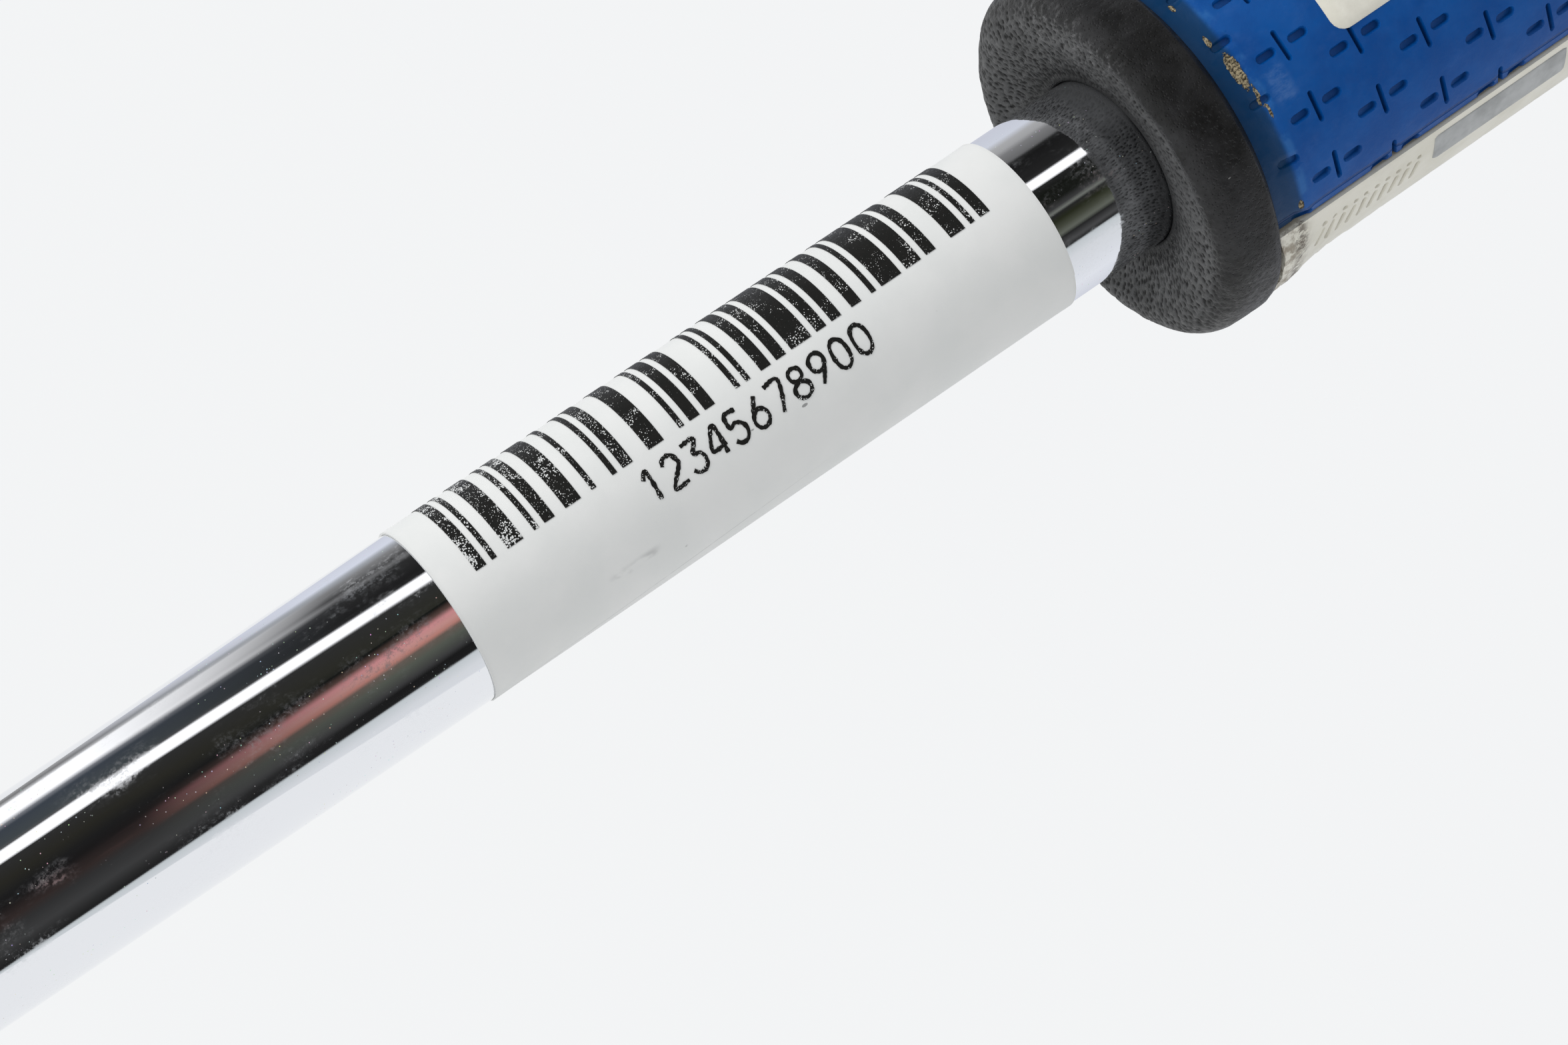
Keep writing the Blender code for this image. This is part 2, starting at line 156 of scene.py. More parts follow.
def smooth_step(x, low, high):
    """0 below low, 1 above high and a smooth curve between."""
    t = np.clip((x - low) / (high - low), 0, 1)
    return t * t * (3 - 2 * t)


def resample(points, spacing):
    """Points every spacing along a polyline, both ends kept."""
    points = np.array(points, float)
    run = np.concatenate([[0], np.cumsum(np.linalg.norm(np.diff(points, axis=0), axis=1))])
    at = np.linspace(0, run[-1], max(2, int(run[-1] / spacing) + 1))
    return [(np.interp(a, run, points[:, 0]), np.interp(a, run, points[:, 1])) for a in at]


# ---- material nodes

def grey(level):
    return (level, level, level)


class Nodes:
    """A node tree, with short ways to add to it."""

    def __init__(self, tree):
        self.tree = tree

    def put(self, socket, value):
        if isinstance(value, bpy.types.NodeSocket):
            self.tree.links.new(value, socket)
        else:
            socket.default_value = value

    def add(self, kind, inputs=None, **settings):
        node = self.tree.nodes.new(kind)
        for key, value in settings.items():
            setattr(node, key, value)
        for key, value in (inputs or {}).items():
            self.put(node.inputs[key], value)
        return node

    def maths(self, operation, a, b=0.0):
        return self.add("ShaderNodeMath", {0: a, 1: b}, operation=operation).outputs[0]

    def mix(self, share, a, b):
        """A colour from a at share 0 to b at share 1."""
        node = self.add("ShaderNodeMix", {0: share}, data_type='RGBA')
        for socket, value in ((node.inputs[6], a), (node.inputs[7], b)):
            self.put(socket, value if isinstance(value, bpy.types.NodeSocket) else (*value, 1))
        return node.outputs[2]


class Shade(Nodes):
    """A material, with the shaft's own coordinates to paint by."""

    def __init__(self, name, colour, roughness, metallic=0.0, specular=0.5):
        self.material = bpy.data.materials.new(name)
        self.material.use_nodes = True
        super().__init__(self.material.node_tree)
        self.shader = self.tree.nodes["Principled BSDF"]
        self.set("Base Color", (*colour, 1))
        self.set("Roughness", roughness)
        self.set("Metallic", metallic)
        self.set("Specular IOR Level", specular)
        self.place = self.add("ShaderNodeTexCoord").outputs["Object"]

    def set(self, socket, value):
        """Set or link an input of the shader."""
        self.put(self.shader.inputs[socket], value)

    def in_mm(self, stretch=(1, 1, 1)):
        """Places on the object in mm, in the shaft's frame."""
        frame_at = {"Location": tuple(FOOT), "Rotation": tuple(SHAFT_FRAME.to_euler()), "Scale": (MM, MM, MM)}
        node = self.add("ShaderNodeMapping", {"Vector": self.place, **frame_at}, vector_type='TEXTURE')
        return self.scaled(node.outputs[0], stretch)

    def scaled(self, vector, by):
        return self.add("ShaderNodeVectorMath", {0: vector, 1: by}, operation='MULTIPLY').outputs[0]

    def cylinder(self):
        """Distance along the shaft in mm, and turn from the thumb side in degrees."""
        apart = self.add("ShaderNodeSeparateXYZ", {0: self.in_mm()})
        turn = self.maths('ARCTAN2', apart.outputs[1], apart.outputs[0])
        return apart.outputs[2], self.maths('MULTIPLY', turn, 180 / math.pi)

    def radius(self):
        """Distance from the shaft's axis in mm."""
        flat = self.add("ShaderNodeVectorMath", {0: self.in_mm((1, 1, 0))}, operation='LENGTH')
        return flat.outputs["Value"]

    def noise(self, vector, scale, detail=3.0, roughness=0.5):
        inputs = {"Vector": vector, "Scale": scale, "Detail": detail, "Roughness": roughness}
        return self.add("ShaderNodeTexNoise", inputs).outputs[0]

    def voronoi(self, vector, scale, output="Distance"):
        return self.add("ShaderNodeTexVoronoi", {"Vector": vector, "Scale": scale}).outputs[output]

    def range(self, value, low, high, to_low=0.0, to_high=1.0):
        """A smooth step from to_low, where value is low, to to_high, where it is high."""
        inputs = {0: value, 1: low, 2: high, 3: to_low, 4: to_high}
        return self.add("ShaderNodeMapRange", inputs, interpolation_type='SMOOTHSTEP').outputs[0]

    def near(self, value, centre, half, soft):
        """1 within half of centre, falling to 0 over soft."""
        off = self.maths('ABSOLUTE', self.maths('SUBTRACT', value, centre))
        return self.range(off, half, half + soft, 1.0, 0.0)

    def times(self, *values):
        product = values[0]
        for value in values[1:]:
            product = self.maths('MULTIPLY', product, value)
        return product

    def bump(self, height, distance, strength=1.0, after=None):
        node = self.add("ShaderNodeBump", {"Height": height, "Distance": distance, "Strength": strength})
        if after:
            self.put(node.inputs["Normal"], after)
        return node.outputs[0]


def chrome():
    """Polished plating with dust specks and hazy smudges, dulled by glue beside the foam and darkened there
    with painted shade.
    """
    m = Shade("chrome", (0.86, 0.87, 0.90), 0.035, 1.0)
    mm = m.in_mm()
    along, turn = m.cylinder()
    specks = m.range(m.voronoi(mm, 2.3), 0.08, 0.12, 1.0, 0.0)
    specks = m.times(specks, m.range(m.noise(m.in_mm((1, 1, 0.3)), 0.30, 3), 0.50, 0.60))
    glint = m.mix(0.35, m.voronoi(mm, 2.3, output="Color"), (0.9, 0.88, 0.8))
    # A thin veil of the grip's adhesive where the tube goes into the grip.
    rag = m.maths('MULTIPLY', m.noise(mm, 1.4, 6, 0.7), 1.8)
    residue = m.range(m.maths('ADD', along, rag), MOUTH + 0.4, MOUTH + 2.2)
    residue = m.times(residue, m.near(turn, GRIP_TURN - 48, 20, 24))
    film = m.mix(m.noise(mm, 2.4, 5, 0.7), (0.13, 0.14, 0.15), (0.42, 0.44, 0.44))
    colour = m.mix(specks, (0.86, 0.87, 0.90), glint)
    # Painted shade: the plating is darkened right beside the foam, where nothing but foam shows in it.
    painted_shade_by_foam = m.range(along, MOUTH - 0.4, MOUTH + 0.8, 0.0, 0.55)
    colour = m.mix(painted_shade_by_foam, m.mix(m.times(residue, 0.45), colour, film), (0.16, 0.165, 0.175))
    m.set("Base Color", colour)
    smudge = m.times(m.range(m.noise(m.in_mm((1, 1, 0.35)), 0.32, 5, 0.72), 0.50, 0.70),
                     m.range(m.noise(mm, 2.6, 4, 0.7), 0.40, 0.62))
    hazy = m.maths('MAXIMUM', m.times(residue, 0.12), m.times(smudge, 0.07))
    dull = m.maths('MAXIMUM', hazy, m.times(specks, 0.75))
    m.set("Metallic", m.maths('SUBTRACT', 1.0, dull))
    scuffs = m.maths('ADD', m.times(smudge, 0.16),
                     m.range(m.noise(m.in_mm((1, 1, 0.06)), 3.0, 4, 0.6), 0.45, 0.75, 0.03, 0.07))
    m.set("Roughness", m.maths('ADD', scuffs, m.times(dull, 0.5)))
    m.set("Normal", m.bump(m.noise(m.in_mm((1, 1, 0.15)), 0.5, 2), 0.000004))
    return m.material


def paper():
    """Matt label paper, lightly rubbed, with the line of its free edge."""
    m = Shade("label_paper", (0.79, 0.80, 0.78), 0.5, specular=0.35)
    mm = m.in_mm()
    along, turn = m.cylinder()
    cloud = m.range(m.noise(mm, 0.18, 3), 0.35, 0.65)
    colour = m.mix(cloud, (0.765, 0.77, 0.755), (0.735, 0.745, 0.73))
    # A faint rubbed smear and a few stray specks of print.
    smear = m.times(m.near(along, LABEL_START + 14.0, 1.5, 1.2), m.near(turn, GRIP_TURN + 43.0, 0.6, 4.0),
                    m.range(m.noise(m.in_mm((1, 1, 0.5)), 1.1, 3), 0.35, 0.6))
    colour = m.mix(m.times(smear, 0.38), colour, grey(0.25))
    specks = m.times(m.range(m.voronoi(m.in_mm((1, 1, 0.45)), 0.42), 0.045, 0.062, 1.0, 0.0),
                     m.range(m.noise(mm, 0.21), 0.56, 0.6))
    colour = m.mix(m.times(specks, 0.7), colour, grey(0.12))
    # The free edge lies as a thin dark line where the overlap ends.
    lay = m.maths('ADD', free_edge(0.0), m.maths('MULTIPLY', along, OVERLAP_SKEW))
    line = m.times(m.near(m.maths('SUBTRACT', turn, lay), 0.0, 0.25, 0.5),
                   m.near(along, LABEL_START + 13.0, 8.0, 14.0), m.range(m.noise(mm, 0.8, 3), 0.25, 0.5))
    colour = m.mix(m.times(line, 0.55), colour, grey(0.2))
    # The paper greys a little along its two cut ends.
    edge = m.maths('MAXIMUM', m.near(along, LABEL_START, 0.05, 0.35), m.near(along, LABEL_END, 0.05, 0.35))
    m.set("Base Color", m.mix(m.times(edge, 0.15), colour, (0.55, 0.55, 0.54)))
    m.set("Roughness", m.range(m.noise(mm, 6.0, 4), 0.3, 0.7, 0.45, 0.6))
    fibres = m.noise(m.in_mm((3, 3, 1)), 5.0, 5, 0.65)
    m.set("Normal", m.bump(m.maths('ADD', fibres, m.times(m.noise(mm, 0.4, 2), 4.0)), 0.00001))
    return m.material


def ink():
    """Thermal print: dark, with the paper showing through in fine worn specks."""
    m = Shade("label_ink", (0.012, 0.012, 0.011), 0.5, specular=0.2)
    mm = m.in_mm()
    along, _ = m.cylinder()
    patch = m.range(m.noise(mm, 0.55, 3, 0.6), 0.42, 0.66, 0.0, 0.30)
    wear_and_highlight = m.range(along, LABEL_START + 3.0, LABEL_START + 26.0, 0.16, 0.0)
    reach_out = m.maths('ADD', m.maths('ADD', patch, wear_and_highlight), 0.06)
    specks = m.voronoi(mm, 6.5)
    lost = m.range(m.maths('SUBTRACT', m.times(reach_out, m.noise(mm, 3.0, 2), 1.9), specks), -0.03, 0.03)
    tone = m.mix(m.noise(mm, 2.0, 3), (0.014, 0.013, 0.012), (0.008, 0.009, 0.008))
    m.set("Base Color", m.mix(lost, tone, (0.66, 0.67, 0.66)))
    m.set("Roughness", m.range(m.noise(mm, 4.0, 3), 0.3, 0.7, 0.42, 0.56))
    return m.material


def foam():
    """Moulded closed-cell foam, pitted on the face and finer on the side, with painted light: the face paler,
    the side darker, painted shade in the pits and by the shaft, and a painted highlight on the rim.
    """
    m = Shade("black_foam", (0.04, 0.04, 0.042), 0.7, specular=0.3)
    mm = m.in_mm()
    _, turn = m.cylinder()
    radius = m.radius()
    cloud = m.noise(mm, 0.30, 4, 0.6)
    side = m.range(radius, COLLAR_R - 2.6, COLLAR_R - 0.9)
    pit = m.add("ShaderNodeAttribute", attribute_name="pit").outputs["Fac"]
    small = m.range(m.voronoi(mm, 3.4), 0.08, 0.40, 1.0, 0.0)
    # Painted light: the face is painted paler, as its sheen would show, and the side darker, as less light
    # falls on it.
    tone = m.mix(m.range(cloud, 0.3, 0.7), (0.046, 0.0465, 0.047), (0.074, 0.075, 0.076))
    shaded_side_tone = m.mix(m.range(cloud, 0.35, 0.65), grey(0.007), (0.018, 0.018, 0.019))
    tone = m.mix(side, tone, shaded_side_tone)
    # Painted shade: the pits are darkened nearly to black by how deep they are.
    tone = m.mix(m.range(pit, 0.12, 0.60, 0.0, 0.95), tone, grey(0.005))
    # Painted shade: the small cells are darkened too.
    tone = m.mix(m.times(small, 0.30), tone, grey(0.010))
    # The foam is smoother where it grips the shaft, and painted shade darkens it there, in the dish beside
    # the shaft.
    throat = m.range(radius, SHAFT_R + 0.3, SHAFT_R + 2.6, 1.0, 0.0)
    tone = m.mix(m.times(throat, 0.8), tone, grey(0.007))
    # Painted highlight: paler patches along the top of the rim; and a little lint caught everywhere.
    painted_rim_highlight = m.times(m.near(turn, GRIP_TURN - 42, 14, 22), m.near(radius, COLLAR_R - 2.2, 1.0, 1.4),
                     m.range(m.noise(m.in_mm((1, 1, 0.4)), 1.6, 5, 0.75), 0.5, 0.72))
    tone = m.mix(m.times(painted_rim_highlight, 0.55), tone, (0.20, 0.20, 0.205))
    lint = m.times(m.range(m.voronoi(m.in_mm((1.0, 1.0, 0.35)), 0.8), 0.030, 0.045, 1.0, 0.0),
                   m.range(m.noise(mm, 0.3, 2), 0.5, 0.58))
    m.set("Base Color", m.mix(m.times(lint, 0.5), tone, (0.36, 0.36, 0.35)))
    gloss = m.range(m.noise(mm, 2.5, 4), 0.3, 0.7, 0.46, 0.64)
    m.set("Roughness", m.maths('SUBTRACT', gloss, m.times(side, 0.10)))
    fine = m.bump(m.noise(mm, 4.5, 4, 0.6), 0.00006, 0.7)
    m.set("Normal", m.bump(m.maths('SUBTRACT', 1.0, small), 0.00006, 0.8, fine))
    return m.material


# Where glue and grit stick beside the collar: (distance, half length, turn, half turn) of each spot.
DIRT_SPOTS = [(9.5, 0.45, 0.0, 6.0), (9.9, 0.16, 9.5, 3.5), (10.1, 0.13, 15.0, 2.5), (9.1, 0.2, -12.0, 2.2),
              (8.8, 0.2, -27.0, 1.6), (9.8, 0.22, 48.0, 1.8)]


def dirt_near_mouth(m, mm, along, turn):
    """1 in each ragged spot of dirt, 0 elsewhere."""
    rag = m.maths('MULTIPLY', m.maths('SUBTRACT', m.noise(mm, 1.8, 6, 0.8), 0.5), 3.4)
    total = 0.0
    for at, half, spot_turn, half_turn in DIRT_SPOTS:
        s = m.maths('DIVIDE', m.maths('SUBTRACT', along, MOUTH + at), half)
        t = m.maths('DIVIDE', m.maths('SUBTRACT', turn, GRIP_TURN + spot_turn), half_turn)
        far = m.maths('ADD', m.maths('MULTIPLY', s, s), m.maths('MULTIPLY', t, t))
        total = m.maths('MAXIMUM', total, m.range(m.maths('ADD', far, rag), 0.95, 1.1, 1.0, 0.0))
    return total


def blue_skin():
    """Blue polyurethane, darker in its end band, with painted shade in its recesses, a painted highlight
    along its ridge and a painted shadow along its seams, and chalk, scuffs and grit.
    """
    m = Shade("blue_skin", (0.004, 0.05, 0.22), 0.42, specular=0.25)
    mm = m.in_mm()
    along, turn = m.cylinder()
    cloud = m.range(m.noise(mm, 0.22, 4, 0.6), 0.35, 0.68)
    colour = m.mix(cloud, (0.0006, 0.062, 0.270), (0.0014, 0.078, 0.315))
    # Painted shade: the recesses are darkened by how deep they are.
    sunk = m.range(m.radius(), SKIN_R - 0.40, SKIN_R - 0.12, 1.0, 0.0)
    colour = m.mix(m.times(sunk, 0.55), colour, (0.0003, 0.022, 0.10))
    band = m.near(along, SKIN_START, 2.3, 0.6)
    colour = m.mix(m.times(band, 0.85), colour, (0.0005, 0.030, 0.085))
    # Painted highlight: a paler streak, in patches, along the ridge above the end band.
    wear_and_highlight = m.range(m.noise(mm, 0.6, 4, 0.6), 0.40, 0.62)
    ridge = m.times(m.near(along, SKIN_START + 3.0, 0.12, 0.5), wear_and_highlight)
    colour = m.mix(m.times(ridge, 0.4), colour, (0.04, 0.17, 0.42))
    scuffed = m.times(m.range(m.noise(m.in_mm((1, 1, 0.7)), 0.33, 5, 0.7), 0.52, 0.72),
                      m.range(along, MOUTH + 8, MOUTH + 11))
    colour = m.mix(m.times(scuffed, 0.16), colour, (0.06, 0.14, 0.38))
    # Painted shadow: a dark line along each seam with the cream skin.
    border = m.near(m.maths('ABSOLUTE', turn), 86.2, 0.25, 0.5)
    colour = m.mix(m.times(border, 0.5), colour, (0.0005, 0.02, 0.10))
    chalk = m.times(m.near(along, MOUTH + 12.0, 0.5, 0.9), m.near(turn, GRIP_TURN + 10.5, 4.5, 3.5),
                    m.range(m.noise(m.in_mm((1, 1, 0.5)), 0.9, 5, 0.7), 0.38, 0.66))
    colour = m.mix(m.times(chalk, 0.18), colour, (0.22, 0.36, 0.60))
    dirt = dirt_near_mouth(m, mm, along, turn)
    grit = m.mix(m.range(m.noise(mm, 5.0, 3, 0.7), 0.38, 0.62), (0.030, 0.024, 0.014), (0.36, 0.30, 0.19))
    m.set("Base Color", m.mix(dirt, colour, grit))
    rough = m.range(m.noise(mm, 1.1, 4), 0.3, 0.7, 0.33, 0.47)
    m.set("Roughness", m.maths('ADD', rough, m.times(dirt, 0.4)))
    grain = m.bump(m.noise(mm, 3.2, 5, 0.6), 0.00003, 0.7)
    relief = m.maths('ADD', m.maths('SUBTRACT', dirt, border), m.noise(mm, 0.5, 3))
    m.set("Normal", m.bump(relief, 0.00010, 0.8, grain))
    return m.material


def cream_skin():
    """Cream polyurethane, grimy in its recesses and caked with dirt beside the collar."""
    m = Shade("cream_skin", (0.75, 0.73, 0.63), 0.5, specular=0.4)
    mm = m.in_mm()
    along, _ = m.cylinder()
    cloud = m.range(m.noise(mm, 0.25, 4), 0.35, 0.65)
    colour = m.mix(cloud, (0.77, 0.75, 0.665), (0.71, 0.69, 0.60))
    grime = m.times(m.range(m.noise(mm, 0.9, 6, 0.7), 0.42, 0.62),
                    m.range(along, SKIN_START + 0.5, SKIN_START + 4.0, 1.0, 0.0))
    colour = m.mix(m.times(grime, 0.75), colour, (0.17, 0.125, 0.075))
    crust = m.times(m.range(m.noise(m.in_mm((1, 1, 0.6)), 1.3, 6, 0.8), 0.46, 0.58),
                    m.near(along, SKIN_START + 2.0, 0.2, 1.0))
    colour = m.mix(m.times(crust, 0.85), colour, (0.075, 0.052, 0.032))
    sunk = m.range(m.radius(), SKIN_R - 0.45, SKIN_R - 0.20, 1.0, 0.0)
    settled = m.times(sunk, m.range(m.noise(mm, 0.6, 3), 0.3, 0.6, 0.35, 0.7))
    colour = m.mix(settled, colour, (0.22, 0.19, 0.13))
    general = m.times(m.range(m.noise(mm, 0.12, 5, 0.7), 0.52, 0.75), 0.25)
    m.set("Base Color", m.mix(general, colour, (0.50, 0.47, 0.39)))
    m.set("Roughness", m.range(m.noise(mm, 1.1, 4), 0.3, 0.7, 0.42, 0.58))
    m.set("Normal", m.bump(m.noise(mm, 3.2, 5, 0.6), 0.00003, 0.7))
    return m.material


def moulded(name, colour, roughness, metallic=0.0, grain=3.0, spread=0.2):
    """A plain moulded, cast or coated surface with mottling, fine grain and uneven gloss."""
    m = Shade(name, colour, roughness, metallic)
    mm = m.in_mm()
    low = tuple(c * (1 - spread) for c in colour)
    high = tuple(min(1, c * (1 + spread)) for c in colour)
    m.set("Base Color", m.mix(m.range(m.noise(mm, 0.3, 5, 0.6), 0.3, 0.7), low, high))
    m.set("Roughness", m.range(m.noise(mm, 1.3, 4), 0.3, 0.7, roughness * 0.85, roughness * 1.2))
    m.set("Normal", m.bump(m.noise(mm, grain, 4, 0.6), 0.00002, 0.8))
    return m.material


def machined(name, colour, roughness, stretch=(0.08, 3, 3)):
    """Satin metal with fine cutter or brushing lines along one way, and a few handling marks."""
    m = Shade(name, colour, roughness, 1.0)
    strokes = m.noise(m.scaled(m.place, tuple(c / MM for c in stretch)), 3.0, 4, 0.7)
    plain = m.scaled(m.place, (1 / MM,) * 3)
    low = tuple(c * 0.88 for c in colour)
    m.set("Base Color", m.mix(m.range(strokes, 0.3, 0.7), low, colour))
    marks = m.range(m.noise(plain, 0.25, 5, 0.7), 0.4, 0.75, 0.0, 0.10)
    m.set("Roughness", m.maths('ADD', m.range(strokes, 0.3, 0.7, roughness * 0.8, roughness * 1.15), marks))
    m.set("Normal", m.bump(strokes, 0.000012, 0.7))
    return m.material


CHROME = chrome()
PAPER = paper()
INK = ink()
FOAM = foam()
BLUE = blue_skin()
CREAM = cream_skin()
GREY_PRINT = moulded("grey_print", (0.36, 0.37, 0.37), 0.5)
RUBBER = moulded("cap_rubber", (0.022, 0.022, 0.024), 0.6)
TAPE = moulded("tape", (0.55, 0.46, 0.28), 0.8, grain=1.5)
ANODISED = moulded("anodised", (0.055, 0.055, 0.06), 0.34, metallic=1.0, grain=6.0)
POLYMER = moulded("insert_polymer", (0.045, 0.047, 0.052), 0.42)
ENAMEL = moulded("white_paint", (0.84, 0.84, 0.82), 0.3, spread=0.03)
SATIN_STEEL = machined("satin_steel", (0.60, 0.60, 0.61), 0.26, (3, 3, 0.2))
ALUMINIUM = machined("satin_aluminium", (0.66, 0.66, 0.67), 0.30)
WEIGHT_STEEL = machined("steel_weight", (0.50, 0.50, 0.51), 0.25)
TUNGSTEN = machined("tungsten", (0.28, 0.28, 0.29), 0.28)


# ---- shaft and label

def build_shaft():
    """The tube: a parallel tip, a long taper and a parallel butt from the label up."""
    wall, chamfer, steps = 0.5, 0.15, 24
    outer = [(TIP_R - chamfer, SHAFT_START), (TIP_R, SHAFT_START + chamfer)]
    outer += [(TIP_R + (SHAFT_R - TIP_R) * i / steps, TAPER_FROM + (LABEL_START - TAPER_FROM) * i / steps)
              for i in range(steps + 1)]
    outer += [(SHAFT_R, LABEL_END), (SHAFT_R, MOUTH + 6)]
    outer += [(SHAFT_R, SHAFT_END - chamfer), (SHAFT_R - chamfer, SHAFT_END)]
    inner = [(SHAFT_R - wall, SHAFT_END), (SHAFT_R - wall, LABEL_START)]
    inner += [(TIP_R - wall, TAPER_FROM), (TIP_R - wall, SHAFT_START)]
    turned_tube("shaft_tube", outer + inner, 192, CHROME, ("shaft",))


LABEL_UNDER = SHAFT_R + 0.02
PAPER_THICKNESS = 0.08
PRINT_LIFT = 0.05  # of the ink above the paper
LABEL_TOP = LABEL_UNDER + PAPER_THICKNESS


def label_radius(turn, edge):
    """The paper's outer radius: one layer past the free edge, two layers before it."""
    past = (turn - edge) % 360
    return LABEL_TOP + PAPER_THICKNESS * smooth_step(past, 120, 165)


def build_label():
    """The wrapped label: two layers of paper where it overlaps, so its free edge is a real step."""
    around, columns = 240, 40
    past = np.linspace(0.4, 359.9, around)
    rows = []
    for s in np.linspace(LABEL_START, LABEL_END, columns):
        edge = free_edge(s)
        lift = 0.03 * math.exp(-(s - LABEL_END) ** 2) + 0.02 * math.exp(-(s - LABEL_START) ** 2)
        rows.append(polar(label_radius(edge + past, edge) + lift, edge + past, s))
    outer = np.stack(rows)
    inner = np.stack([polar(np.full(around, LABEL_UNDER), np.degrees(np.arctan2(r[:, 1], r[:, 0])), r[0, 2])
                      for r in outer])
    sheet = np.concatenate([outer, inner[::-1]])
    faces = grid_faces(2 * columns, around, True)
    add_piece("label_paper_wrap", on_shaft(sheet.reshape(-1, 3)), faces, PAPER, ("shaft_label",))


# Code 128, set C: widths of bar, space, bar, space, bar, space for the values used.
CODE_START_C, CODE_STOP = "211232", "2331112"
CODE_WIDTHS = {12: "112232", 34: "131123", 56: "331121", 78: "241112", 90: "212141", 0: "212222",
               98: "114131"}
PRINTED_NUMBER = "12345678900"
CODE_LENGTH, CODE_FROM = 50.4, 3.0  # mm: the bars' run along the shaft, and their gap from its end
CODE_FOOT, CODE_HEAD = -11.0, -118.0  # turns from the camera's side that the bars reach
DIGIT_HIGH, DIGIT_WIDE, DIGIT_PITCH = 2.45, 1.35, 2.04
DIGITS_FROM, DIGITS_TURN = 17.5, 16.0
STROKE = 0.17  # half the pen's width
# Each digit's pen stroke, in hundredths of the digit's width and height.
DIGIT_STROKES = {
    "0": [(50, 0), (12, 14), (0, 50), (12, 86), (50, 100), (88, 86), (100, 50), (88, 14), (50, 0)],
    "1": [(15, 78), (55, 100), (55, 0)],
    "2": [(2, 80), (25, 100), (75, 100), (95, 76), (90, 58), (0, 0), (100, 0)],
    "3": [(2, 100), (95, 100), (45, 60), (85, 52), (100, 28), (80, 2), (30, -2), (0, 14)],
    "4": [(78, 0), (78, 100), (0, 30), (100, 30)],
    "5": [(90, 100), (15, 100), (8, 56), (50, 64), (90, 48), (96, 22), (70, 0), (30, -2), (2, 12)],
    "6": [(75, 100), (20, 50), (2, 25), (20, 2), (60, -2), (95, 15), (95, 42), (60, 58), (20, 50)],
    "7": [(0, 100), (100, 100), (35, 0)],
    "8": [(50, 54), (14, 66), (14, 90), (50, 100), (86, 90), (86, 66), (50, 54), (4, 38), (4, 12),
          (50, -2), (96, 12), (96, 38), (50, 54)],
    "9": [(80, 50), (40, 42), (5, 56), (5, 84), (40, 100), (80, 96), (98, 75), (80, 50), (25, 0)],
}
PRINT_SKEW = -0.14  # degrees per mm: the label is wrapped a little askew
SKEW_FROM = LABEL_START + 27


def build_print():
    """Bars and digits as a skin of ink a hair above the paper."""
    verts, faces = [], []

    def patch(grid):
        rows, columns, _ = grid.shape
        start = sum(len(v) for v in verts)
        verts.append(grid.reshape(-1, 3))
        faces.extend((grid_faces(rows, columns, False, False) + start).tolist())

    def skewed(turn, s):
        return GRIP_TURN + turn + PRINT_SKEW * (s - SKEW_FROM)

    def inked(turns, s):
        return polar(label_radius(turns, free_edge(s)) + PRINT_LIFT, turns, s)

    widths = CODE_START_C + "".join(CODE_WIDTHS[v] for v in (12, 34, 56, 78, 90, 0, 98)) + CODE_STOP
    module = CODE_LENGTH / sum(int(w) for w in widths)
    s = LABEL_START + CODE_FROM
    for i, w in enumerate(widths):
        width = int(w) * module
        if i % 2 == 0:
            turns = np.linspace(skewed(CODE_HEAD, s), skewed(CODE_FOOT, s), 60)
            patch(np.stack([inked(turns, x) for x in np.linspace(s + 0.02, s + width - 0.02, 3)]))
        s += width

    s = LABEL_START + DIGITS_FROM
    for digit in PRINTED_NUMBER:
        stroke = [(x / 100, y / 100) for x, y in DIGIT_STROKES[digit]]
        path = np.array(resample(smooth_path(stroke), 0.05))
        pen = path * (DIGIT_WIDE, DIGIT_HIGH)
        flow = np.gradient(pen, axis=0)
        flow /= np.linalg.norm(flow, axis=1)[:, None]
        side = np.stack([-flow[:, 1], flow[:, 0]], axis=1)
        rough = [1 + 0.45 * noise.noise(Vector((s + i * 0.35, 7.7, 0))) for i in range(len(path))]
        rows = []
        for way in (-1, 1):
            edge = pen + side * (way * STROKE * np.array(rough))[:, None]
            turn = skewed(DIGITS_TURN, s) - np.degrees(edge[:, 1] / LABEL_TOP)
            rows.append(inked(turn, s + edge[:, 0]))
        patch(np.stack(rows))
        s += DIGIT_PITCH
    add_piece("label_print", on_shaft(np.concatenate(verts)), faces, INK)


def smooth_path(points):
    """A Catmull-Rom curve through given points."""
    steps = 6
    p = [points[0]] + list(points) + [points[-1]]
    if points[0] == points[-1]:
        p = [points[-2]] + list(points) + [points[1]]
    out = []
    for a, b, c, d in zip(p, p[1:], p[2:], p[3:]):
        a, b, c, d = (np.array(q, float) for q in (a, b, c, d))
        for k in range(steps):
            t = k / steps
            out.append(0.5 * (2 * b + (c - a) * t + (2 * a - 5 * b + 4 * c - d) * t * t
                              + (3 * b - a - 3 * c + d) * t ** 3))
    out.append(np.array(points[-1], float))
    return out


# ---- grip core

PIT_COLUMNS, PIT_ROW = 132, 0.66  # pits round the collar, and their pitch across it in mm
PIT_DEPTH, PIT_SEED = 0.23, 11
MOUTH_SLANT = 0.112  # the mouth isn't cut square: it is deeper on the camera's side


